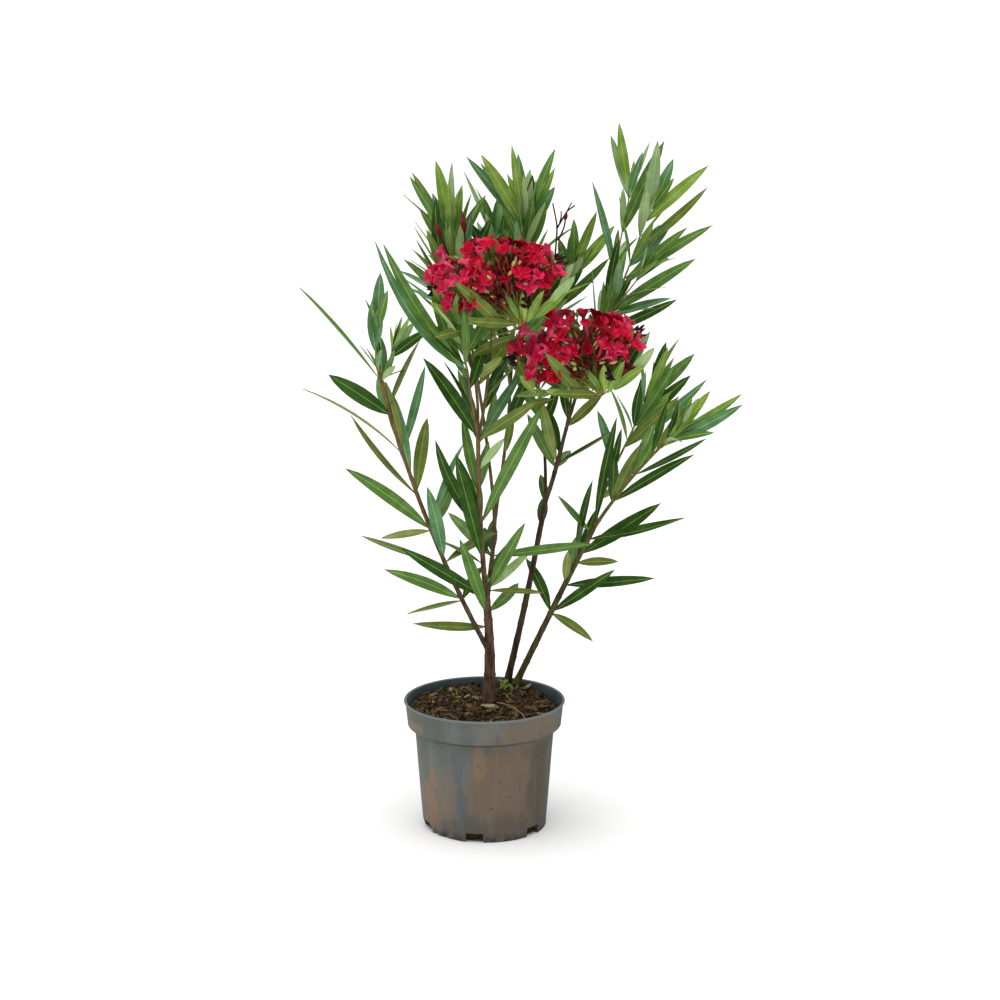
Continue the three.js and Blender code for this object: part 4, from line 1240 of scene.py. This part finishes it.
def add_head(head, blossom, stalks, leaves, draw):
    """A flower head, front and rear. The further out a place is, the more it is lifted."""
    for side, fork in ((-1, head.at(*FORK)), (1, head.at(*REAR_FORK))):
        feet = []
        for across, up, shade_name in BLOOMS:
            depth = dome_depth(across, up)
            spot = head.at(across, side * depth, up + DOME["lift"] * depth)
            feet.append(add_bloom(blossom, stalks, head, spot, shade_name, draw))
        for across, up, length, tint in BUDS * BUD_LAYERS:
            depth = dome_depth(across, up) * draw.uniform(0.45, 1.0)
            aside, above = draw.uniform(-7, 7), draw.uniform(-7, 5)
            spot = head.at(across + aside, side * depth, up + DOME["lift"] * depth + above)
            feet.append(add_bud(stalks, head, spot, length, tint, draw))
        add_truss(stalks, fork, feet, draw)
        for foot, deep, up, lean, toward, length, roll, shade_name in HEAD_LEAVES:
            base = head.at(foot, side * deep, up)
            direction = leaning(lean, toward)
            direction.y *= -side
            facing = facing_of(roll, direction)
            facing.y *= -side
            add_leaf(leaves, Leaf(base, direction, facing, length * MM, draw), shade_name)
    add_crown(head, blossom, stalks, draw)
    foot, fork = head.branch.point(0.72), head.at(*FORK)
    add_stalk(stalks, [foot, foot.lerp(fork, 0.6) - UP * 4 * MM, fork], 3.2, BUD_NUMBER["olive"])
    add_stalk(stalks, [head.branch.point(0.78), head.at(*REAR_FORK)], 3.2, BUD_NUMBER["olive"])


def petal_material(name, first, second, veins):
    """A petal with streaks of a paler pink and a soft sheen."""

    def paint(tree):
        patches = use(tree, PATCHES, Scale=90.0, Soft=0.2)
        streaks = use(tree, PATCHES, Scale=240.0, Rise=0.4, Level=0.62, Soft=0.08)
        return overlay(tree, mix(tree, patches, first, second), streaks, 0.4, veins)

    return new_material(name, paint, 0.5, 0.08, 500.0, 0.0003)


HEADS = (("left_flower_head", "front_flower_branch"), ("right_flower_head", "right_flower_branch"))


def add_spent_stalks(stalks, head):
    """The spent stalks of last year's flowers, with a few dry pods."""
    for points, thickness in SPENT_STALKS:
        add_stalk(stalks, [head.at(*p) for p in points], thickness, BUD_NUMBER["black"])
    for place, reach, thick in SPENT_PODS:
        start = head.at(*place)
        radii = (1, thick, thick * 0.8, 0.4)
        add_round(stalks, TUBE_SHAPE, start, start + Vector(reach) * MM, radii, BUD_NUMBER["maroon"])


def make_heads(leaf_shades):
    petals = []
    for shade_name, (first, second, back) in PETAL_SHADES.items():
        petals.append(petal_material(shade_name + "_petal_face", first, second, back))
        petals.append(petal_material(shade_name + "_petal_back", second, back, back))
    buds = [mottled(name + "_bud", *pair, 0.55, 200.0, 0.1) for name, pair in BUD_SHADES.items()]
    for number, (node, branch) in enumerate(HEADS):
        draw = random.Random(300 + number)
        head = Head(node, branch)
        blossom, stalks, leaves = Batch(), Batch(), Batch()
        add_head(head, blossom, stalks, leaves, draw)
        if number == 0:
            add_spent_stalks(stalks, head)
        side = node.split("_")[0]
        add_piece(side + "_blossom", blossom.finish(), petals, [node])
        add_piece(side + "_flower_stalks", stalks.finish(), buds)
        add_piece(side + "_head_leaves", leaves.finish(), leaf_shades)


# ---------------------------------------------------------------- compost

SOIL = NODES["soil"].data
SOIL_TREE = BVHTree.FromPolygons([v.co for v in SOIL.vertices], [p.vertices for p in SOIL.polygons])
CRUMB = {"count": 1000, "size": (1.3, 4.2)}
CHIP = {"count": 110, "length": (6, 17), "narrow": (0.2, 0.5), "thick": (1.2, 2.2), "tilt": (-35, 35),
        "above": 1.6}
FIBRE = {"count": 26, "length": (12, 34), "bow": (-0.3, 0.3), "above": (0.6, 2.6), "thick": (0.5, 1.0)}
SURFACE = {"steps": 96, "rings": 44, "rough": 2.4 * MM, "fine": 1.1 * MM, "plug": (0.78, 0.9, 0.995),
           "collar": 140 * MM}
WEED = {"lean": (5, 75), "height": (0.45, 1), "half_width": (0.07, 0.13)}
# Weeds: right and back in millimetres, spread, number of leaves, tallest leaf.
WEEDS = [(10, -74, 10, 16, 14), (-8, -84, 10, 8, 8), (-27, -80, 10, 10, 9), (-62, -50, 13, 10, 8),
         (-40, 45, 6, 5, 13), (27, 60, 8, 22, 13), (38, 52, 7, 12, 10), (28, -32, 14, 16, 5),
         (-78, -28, 8, 6, 6), (60, 66, 9, 5, 7), (-30, 76, 10, 6, 7), (-6, 52, 8, 5, 6)]
# Chips of wood: right, back, length, width, turn in degrees.
PALE_CHIPS = [(5, -9, 18, 8, 12), (79, -24, 17, 7, 148), (-12, 22, 15, 4, 118), (88, -14, 12, 5, 120),
              (-24, 34, 13, 3, 60)]
BARE_ROOT = [(17, 6), (30, 2), (44, -12), (53, -30), (55, -46)]
# The compost's materials: name, two colours, roughness, size of the patches, gloss, grain and depth.
PEATS = [
    ("dark_peat", (40, 30, 16), (68, 54, 36), 0.92, 180.0, 0.05, 900.0, 0.0012),
    ("brown_peat", (76, 62, 44), (102, 86, 66), 0.92, 180.0, 0.05, 900.0, 0.0008),
    ("red_bark", (88, 66, 46), (112, 90, 68), 0.85, 160.0, 0.05, 700.0, 0.0006),
    ("black_peat", (26, 20, 12), (44, 36, 24), 0.92, 180.0, 0.05, 900.0, 0.0008),
    ("pale_wood", (124, 108, 84), (160, 146, 120), 0.75, 160.0, 0.05, 800.0, 0.0004),
]
PALE_WOOD = 4
SOIL_RADIUS = (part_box("soil")[1].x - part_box("soil")[0].x) / 2


def ground(x, y):
    """The level of the CAD compost under a place."""
    inside = min(1.0, 0.985 * SOIL_RADIUS / max(math.hypot(x, y), MM))
    return SOIL_TREE.ray_cast(Vector((x * inside, y * inside, 1)), -UP)[0].z


def crumbly(x, y):
    """The level of the crumbly surface."""
    spot = Vector((x, y, 0))
    coarse = noise.fractal(spot * 70, 0.6, 2.0, 4)
    return ground(x, y) + SURFACE["rough"] * coarse + SURFACE["fine"] * noise.noise(spot * 420)


def make_surface(shades):
    """A closed body of compost: a crumbly top over a plug that stands on the pot's floor."""
    low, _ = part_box("soil")
    rings = SURFACE["rings"]
    foot, shoulder, edge = (SOIL_RADIUS * share for share in SURFACE["plug"])
    collar = SURFACE["collar"]
    above = 1.0
    way = [(0, low.z), (foot, low.z), (shoulder, collar), (edge, collar + 6 * MM)]
    way += [(edge * ring / rings, above) for ring in range(rings, -1, -1)]
    bm = spun(way, SURFACE["steps"])
    for vert in bm.verts:
        if vert.co.z > above / 2:
            vert.co.z = crumbly(vert.co.x, vert.co.y)
    add_piece("compost", bm, [shades[0]], ["soil"])


def scatter(draw, spread=0.97):
    """A random place on the compost, clear of the stems."""
    while True:
        reach = SOIL_RADIUS * spread * math.sqrt(draw.random())
        turn = draw.uniform(0, 2 * math.pi)
        x, y = reach * math.cos(turn), reach * math.sin(turn)
        feet = [LINES[stem].points[0] for stem in STEMS]
        if all(math.hypot(x - foot.x, y - foot.y) > 9 * MM for foot in feet):
            return x, y


def lump_template():
    bm = bmesh.new()
    bmesh.ops.create_icosphere(bm, subdivisions=1, radius=1)
    return mesh_of(bm, "lump")


def chip_template():
    bm = bmesh.new()
    bmesh.ops.create_cube(bm, size=1)
    bmesh.ops.subdivide_edges(bm, edges=bm.edges, cuts=1, use_grid_fill=True)
    corners = [edge for edge in bm.edges if edge.calc_face_angle(0) > 1]
    bmesh.ops.bevel(bm, geom=corners, offset=0.06, offset_type="OFFSET", affect="EDGES", segments=1,
                    profile=0.5, material=-1)
    return mesh_of(bm, "chip")


def random_turn(draw):
    angle = draw.uniform(0, 6.3)
    axis = Vector([draw.uniform(-1, 1) for _ in range(3)]) + UP * 0.01
    return Matrix.Rotation(angle, 3, axis)


def make_crumbs(shades, draw):
    batch = Batch()
    lump = lump_template()
    for _ in range(CRUMB["count"]):
        x, y = scatter(draw)
        size = draw.uniform(*CRUMB["size"]) * draw.uniform(0.6, 1) * MM
        turn = random_turn(draw)
        flat = Vector((1, draw.uniform(0.6, 0.95), draw.uniform(0.5, 0.85)))
        seed = draw.uniform(0, 50)
        spot = Vector((x, y, crumbly(x, y) + size * 0.25))

        def place(co):
            rough = 1 + 0.45 * noise.noise(co * 1.6 + Vector((seed, 0, 0)))
            return spot + turn @ (co * flat) * (size * rough)

        batch.add(lump, place, draw.choice([0, 0, 1, 1, 2, 3]))
    add_piece("compost_crumbs", batch.finish(), shades)


def add_chip(batch, template, x, y, length, width, turn, tilt, number, draw):
    level = crumbly(x, y) + CHIP["above"] * MM
    size = Vector((length, width, draw.uniform(*CHIP["thick"]))) * MM
    swing = Matrix.Rotation(math.radians(turn), 3, "Z") @ Matrix.Rotation(math.radians(tilt), 3, "X")
    seed = draw.uniform(0, 50)

    def place(co):
        ragged = 1 + 0.35 * noise.noise(co * 2.2 + Vector((seed, 0, 0)))
        return Vector((x, y, level)) + swing @ (co * size * ragged)

    batch.add(template, place, number)


def add_weed(batch, x, y, spread, count, tallest, draw):
    for _ in range(count):
        turn = draw.uniform(0, 6.3)
        away = draw.uniform(0, spread) * MM
        spot = Vector((x + away * math.cos(turn), y + away * math.sin(turn), 0))
        spot.z = crumbly(spot.x, spot.y)
        lean = math.radians(draw.uniform(*WEED["lean"]))
        heading = draw.uniform(0, 6.3)
        _, direction = splay((UP, Vector((1, 0, 0)), Vector((0, 1, 0))), heading, lean)
        length = tallest * draw.uniform(*WEED["height"]) * MM
        leaf = Leaf(spot, direction, UP + direction.orthogonal(), length, draw)
        leaf.half = length * draw.uniform(*WEED["half_width"])
        add_leaf(batch, leaf, draw.choice(["fresh", "olive", "olive", "green"]))


def add_fibre(batch, draw):
    """A thin bent fibre that lies on the crumbs."""
    x, y = scatter(draw, 0.85)
    turn = draw.uniform(0, 6.3)
    reach = draw.uniform(*FIBRE["length"]) * MM
    bow = draw.uniform(*FIBRE["bow"])
    points = []
    for i in range(5):
        share = i / 4
        angle = turn + bow * share * 3
        way = reach * (share - 0.5)
        there = Vector((x + way * math.cos(angle), y + way * math.sin(angle), 0))
        there.z = crumbly(there.x, there.y) + draw.uniform(*FIBRE["above"]) * MM
        points.append(there)
    add_stalk(batch, points, draw.uniform(*FIBRE["thick"]), draw.choice([1, 2, 4]))


def add_bare_root(batch):
    """A bare root that arches over the crumbs."""
    points = [Vector((x * MM, y * MM, 0)) for x, y in BARE_ROOT]
    for k, point in enumerate(points):
        point.z = crumbly(point.x, point.y) + (2.5 + 1.5 * math.sin(k)) * MM
    add_stalk(batch, points, 1.6, PALE_WOOD)


def make_chips(shades, draw):
    chips = Batch()
    chip = chip_template()
    for _ in range(CHIP["count"]):
        x, y = scatter(draw, 0.93)
        length = draw.uniform(*CHIP["length"])
        width = length * draw.uniform(*CHIP["narrow"])
        turn, tilt = draw.uniform(0, 360), draw.uniform(*CHIP["tilt"])
        add_chip(chips, chip, x, y, length, width, turn, tilt, draw.choice([0, 1, 1, 2, 2, 3, 4]), draw)
    for x, y, length, width, turn in PALE_CHIPS:
        add_chip(chips, chip, x * MM, y * MM, length, width, turn, 14, PALE_WOOD, draw)
    for _ in range(FIBRE["count"]):
        add_fibre(chips, draw)
    add_bare_root(chips)
    add_piece("bark_chips", chips.finish(), shades, smooth=False)


def make_compost(leaf_shades):
    draw = random.Random(500)
    shades = [mottled(name, *look) for name, *look in PEATS]
    make_surface(shades)
    make_crumbs(shades, draw)
    make_chips(shades, draw)
    weeds = Batch()
    for x, y, spread, count, tallest in WEEDS:
        add_weed(weeds, x * MM, y * MM, spread, count, tallest, draw)
    add_piece("weeds", weeds.finish(), leaf_shades)


# ---------------------------------------------------------------- pot

POT = {"steps": 144, "base": 84.5, "wall_top": 95, "collar_bottom": 143, "collar": 105,
       "wall": 2.2, "under": 12.5, "floor": 14.5, "lip": 3.6, "lip_proud": 2.2, "shoulder": 3.5}
NOTCHES = {"count": 6, "first": -9, "width": 23, "height": 13, "depth": 9}
CHIPPED = {"from": -100, "to": -22, "height": 12, "deep": 5.5}
SHARP = math.radians(38)
SEAM = {"width": 1.2, "thick": 1.4, "proud": 0.5, "tilt": -3.5}
SEAMS = {"mould_seam": 10, "mould_seam_rear": 190}


def pot_profile(rim, height):
    """Radius and height of the pot's outline, from the middle of the base round to the floor inside."""
    base, top, collar = POT["base"], POT["wall_top"], POT["collar"]
    low = POT["collar_bottom"]
    wall = POT["wall"]
    lip = height - POT["lip"]
    return [
        (0, POT["under"]), (base - 7, POT["under"]), (base - 6, POT["under"] - 1.5), (base - 5, 0.4),
        (base - 4.4, 0), (base - 2, 0), (base - 0.6, 0.5), (base, 2),
        (base + 0.3, 6), (base + 0.7, 12),
        (lerp(base, top, 0.25), 36), (lerp(base, top, 0.5), 70), (lerp(base, top, 0.75), 105),
        (top - 0.2, low - 8), (top, low - 5), (top + 0.8, low - 3), (top + POT["shoulder"], low - 1.5),
        (collar - 2.4, low - 0.6), (collar - 0.8, low + 0.2), (collar, low + 1.8), (collar + 0.2, low + 6),
        (lerp(collar, rim - POT["lip_proud"], 0.5), low + 16), (rim - POT["lip_proud"], lip - 1),
        (rim - POT["lip_proud"] + 0.5, lip), (rim - 0.9, lip + 0.5), (rim - 0.1, lip + 1.2),
        (rim, height - 1.8), (rim - 0.5, height - 0.7), (rim - 1.6, height), (rim - 2.8, height - 0.3),
        (rim - 3.8, height - 1.5), (collar - wall + 0.4, low + 20), (collar - wall, low + 4),
        (collar - wall - 2, low + 0.8), (top - wall + 1.5, low - wall), (top - wall, low - 5.5),
        (base - wall, POT["floor"] + 2), (base - wall - 2, POT["floor"]), (0, POT["floor"]),
    ]


def chip_edge(bm):
    """A ragged stretch of the bottom edge, on the left."""
    for vert in bm.verts:
        turn = math.degrees(math.atan2(vert.co.x, -vert.co.y))
        way = (turn - CHIPPED["from"]) / (CHIPPED["to"] - CHIPPED["from"])
        low = 1 - vert.co.z / (CHIPPED["height"] * MM)
        if 0 < way < 1 and low > 0 and math.hypot(vert.co.x, vert.co.y) > 0.93 * POT["base"] * MM:
            ragged = 0.5 + 0.8 * noise.noise(Vector((turn * 0.22, 0, 0)))
            ragged += 0.3 * noise.noise(Vector((turn, 5, 0)))
            bite = CHIPPED["deep"] * MM * max(0, ragged) * math.sin(math.pi * way) ** 0.5 * low
            vert.co.z += bite * 0.8
            vert.co.xy *= 1 - bite / (POT["base"] * MM)


def cut_notches(pot):
    """Drain notches in the foot, cut with slightly flared blocks."""
    bm = bmesh.new()
    for k in range(NOTCHES["count"]):
        block = bmesh.ops.create_cube(bm, size=1)["verts"]
        size = Vector((NOTCHES["width"], 2 * NOTCHES["depth"], 2 * NOTCHES["height"])) * MM
        bmesh.ops.scale(bm, verts=block, vec=size)
        for vert in block:
            vert.co.x *= 1.0 if vert.co.z > 0 else 1.12
        bmesh.ops.translate(bm, verts=block, vec=(0, -POT["base"] * MM, 0))
        turn = Matrix.Rotation(math.radians(NOTCHES["first"] + 360 * k / NOTCHES["count"]), 3, "Z")
        bmesh.ops.rotate(bm, verts=block, cent=(0, 0, 0), matrix=turn)
    blocks = bpy.data.objects.new("notch_blocks", mesh_of(bm, "notch_blocks"))
    bpy.context.scene.collection.objects.link(blocks)
    cut = pot.modifiers.new("notches", "BOOLEAN")
    cut.operation = "DIFFERENCE"
    cut.object = blocks
    bpy.context.view_layer.update()
    shown = pot.evaluated_get(bpy.context.evaluated_depsgraph_get())
    bm = bmesh.new()
    bm.from_mesh(shown.data)
    for edge in bm.edges:
        edge.smooth = edge.calc_face_angle(0) < SHARP
    pot.modifiers.remove(cut)
    bm.to_mesh(pot.data)
    bm.free()
    bpy.data.objects.remove(blocks)


# Stains on the pot, and one patch of painted shade on its right side: the middle (right, back, up)
# and the reach of each, in metres, how ragged it is, how strong, and its colour.
STAINS_AND_PAINTED_SHADE = [
    ((0.05, -0.085, 0.075), (0.1, 0.09, 0.1), 1.2, 0.85, (108, 90, 72)),
    # This patch darkens the pot's right side: painted shade.
    ((0.1, -0.02, 0.07), (0.065, 0.13, 0.16), 0.8, 0.8, (70, 66, 56)),
    ((0.0, -0.09, 0.004), (0.14, 0.08, 0.045), 1.0, 0.6, (78, 74, 66)),
    ((-0.05, -0.075, 0.075), (0.034, 0.05, 0.045), 2.4, 0.4, (106, 102, 84)),
    ((-0.034, -0.09, 0.1), (0.014, 0.05, 0.035), 2.4, 0.6, (82, 89, 98)),
    ((-0.034, -0.09, 0.055), (0.014, 0.05, 0.035), 2.6, 0.6, (80, 86, 94)),
    ((-0.006, -0.095, 0.115), (0.012, 0.04, 0.03), 1.6, 0.6, (126, 104, 82)),
    ((-0.074, -0.05, 0.045), (0.032, 0.06, 0.055), 1.8, 0.5, (130, 108, 86)),
    ((-0.071, -0.055, 0.055), (0.014, 0.04, 0.04), 2.8, 0.4, (146, 110, 80)),
    ((-0.046, -0.08, 0.05), (0.013, 0.04, 0.04), 3.0, 0.4, (126, 104, 80)),
    ((-0.098, -0.06, 0.152), (0.02, 0.05, 0.01), 1.5, 0.7, (128, 108, 90)),
    ((0.075, -0.075, 0.158), (0.07, 0.07, 0.03), 1.6, 0.65, (110, 98, 80)),
    ((-0.04, 0.09, 0.08), (0.08, 0.07, 0.09), 1.4, 0.8, (108, 92, 74)),
    ((0.06, 0.08, 0.05), (0.05, 0.08, 0.05), 2.2, 0.6, (82, 84, 82)),
    ((-0.1, 0.03, 0.13), (0.05, 0.06, 0.06), 2.0, 0.6, (112, 100, 84)),
]


def pot_material():
    """Grey moulded plastic under dust, with stains and specks, painted shade under the collar and on its
    right side, and a painted highlight on the lip.
    """
    collar = POT["collar_bottom"]

    def paint(tree):
        cloud = use(tree, PATCHES, Scale=30.0, Rise=0.5, Soft=0.2)
        colour = mix(tree, cloud, (88, 92, 88), (104, 107, 102))
        for place, size, ragged, strength, tint in STAINS_AND_PAINTED_SHADE:
            mask = use(tree, NEAR, Place=place, Size=size, Ragged=ragged)
            colour = overlay(tree, colour, mask, strength, tint)
        drips = use(tree, PATCHES, Scale=90.0, Rise=0.15, Level=0.56, Soft=0.1)
        colour = overlay(tree, colour, drips, 0.16, (122, 112, 98))
        # A thin dark band just under the collar: painted shade.
        above = use(tree, HEIGHT, Low=(collar + 1.5) * MM, High=(collar - 0.5) * MM)
        below = use(tree, HEIGHT, Low=(collar - 7) * MM, High=(collar - 1.5) * MM)
        colour = overlay(tree, colour, maths(tree, "MULTIPLY", above, below), 0.85, (46, 40, 34))
        foot = use(tree, HEIGHT, Low=0.016, High=0.0)
        grime = use(tree, PATCHES, Scale=110.0, Level=0.48, Soft=0.08)
        colour = overlay(tree, colour, foot, grime, (62, 56, 46))
        specks = use(tree, PATCHES, Scale=210.0, Level=0.7, Soft=0.03)
        colour = overlay(tree, colour, specks, 0.75, (56, 48, 40))
        # A pale band along the lip: painted highlight.
        lip = use(tree, HEIGHT, Low=0.1735, High=0.175)
        return overlay(tree, colour, lip, 0.7, (108, 116, 118))

    return new_material("dusty_pot_plastic", paint, 0.7, 0.25, 260.0, 0.0007, 0.5)


def add_seam(name, turn, top, skin):
    """A raised mould line up the collar, leaning out with it."""
    strip = bmesh.new()
    bmesh.ops.create_cube(strip, size=1)
    height = top / MM - POT["collar_bottom"] - POT["lip"] - 3
    bmesh.ops.scale(strip, verts=strip.verts, vec=Vector((SEAM["width"], SEAM["thick"], height)) * MM)
    bmesh.ops.bevel(strip, geom=strip.edges, offset=0.3 * MM, offset_type="OFFSET", affect="EDGES",
                    segments=2, profile=0.5, material=-1)
    middle = Vector((0, -POT["collar"] - 0.6 - SEAM["proud"], POT["collar_bottom"] + 2 + height / 2)) * MM
    lean = Matrix.Translation(middle) @ Matrix.Rotation(math.radians(SEAM["tilt"]), 4, "X")
    around = Matrix.Rotation(math.radians(turn), 4, "Z")
    bmesh.ops.transform(strip, verts=strip.verts, matrix=around @ lean)
    add_piece(name, strip, [skin])


def make_pot():
    low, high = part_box("pot")
    profile = pot_profile((high.x - low.x) / 2 / MM, high.z / MM)
    bm = spun([(radius * MM, height * MM) for radius, height in profile], POT["steps"])
    chip_edge(bm)
    for face in bm.faces:
        middle = face.calc_center_median()
        inward = face.normal.x * middle.x + face.normal.y * middle.y < -0.02 * middle.xy.length
        face.material_index = int(inward and middle.z < high.z - 2 * MM)
    skin = pot_material()
    slate = mottled("shaded_pot_inside", (50, 62, 68), (64, 76, 82), 0.6, 30.0, 0.3, 500.0, 0.0003)
    pot = add_piece("grow_pot", bm, [skin, slate], ["pot"])
    cut_notches(pot)
    for name, turn in SEAMS.items():
        add_seam(name, turn, high.z, skin)


# ---------------------------------------------------------------- build

make_camera()
make_light()
make_floor()
make_limbs()
leaf_shades = leaf_materials()
make_leaves(leaf_shades)
make_heads(leaf_shades)
make_compost(leaf_shades)
make_pot()
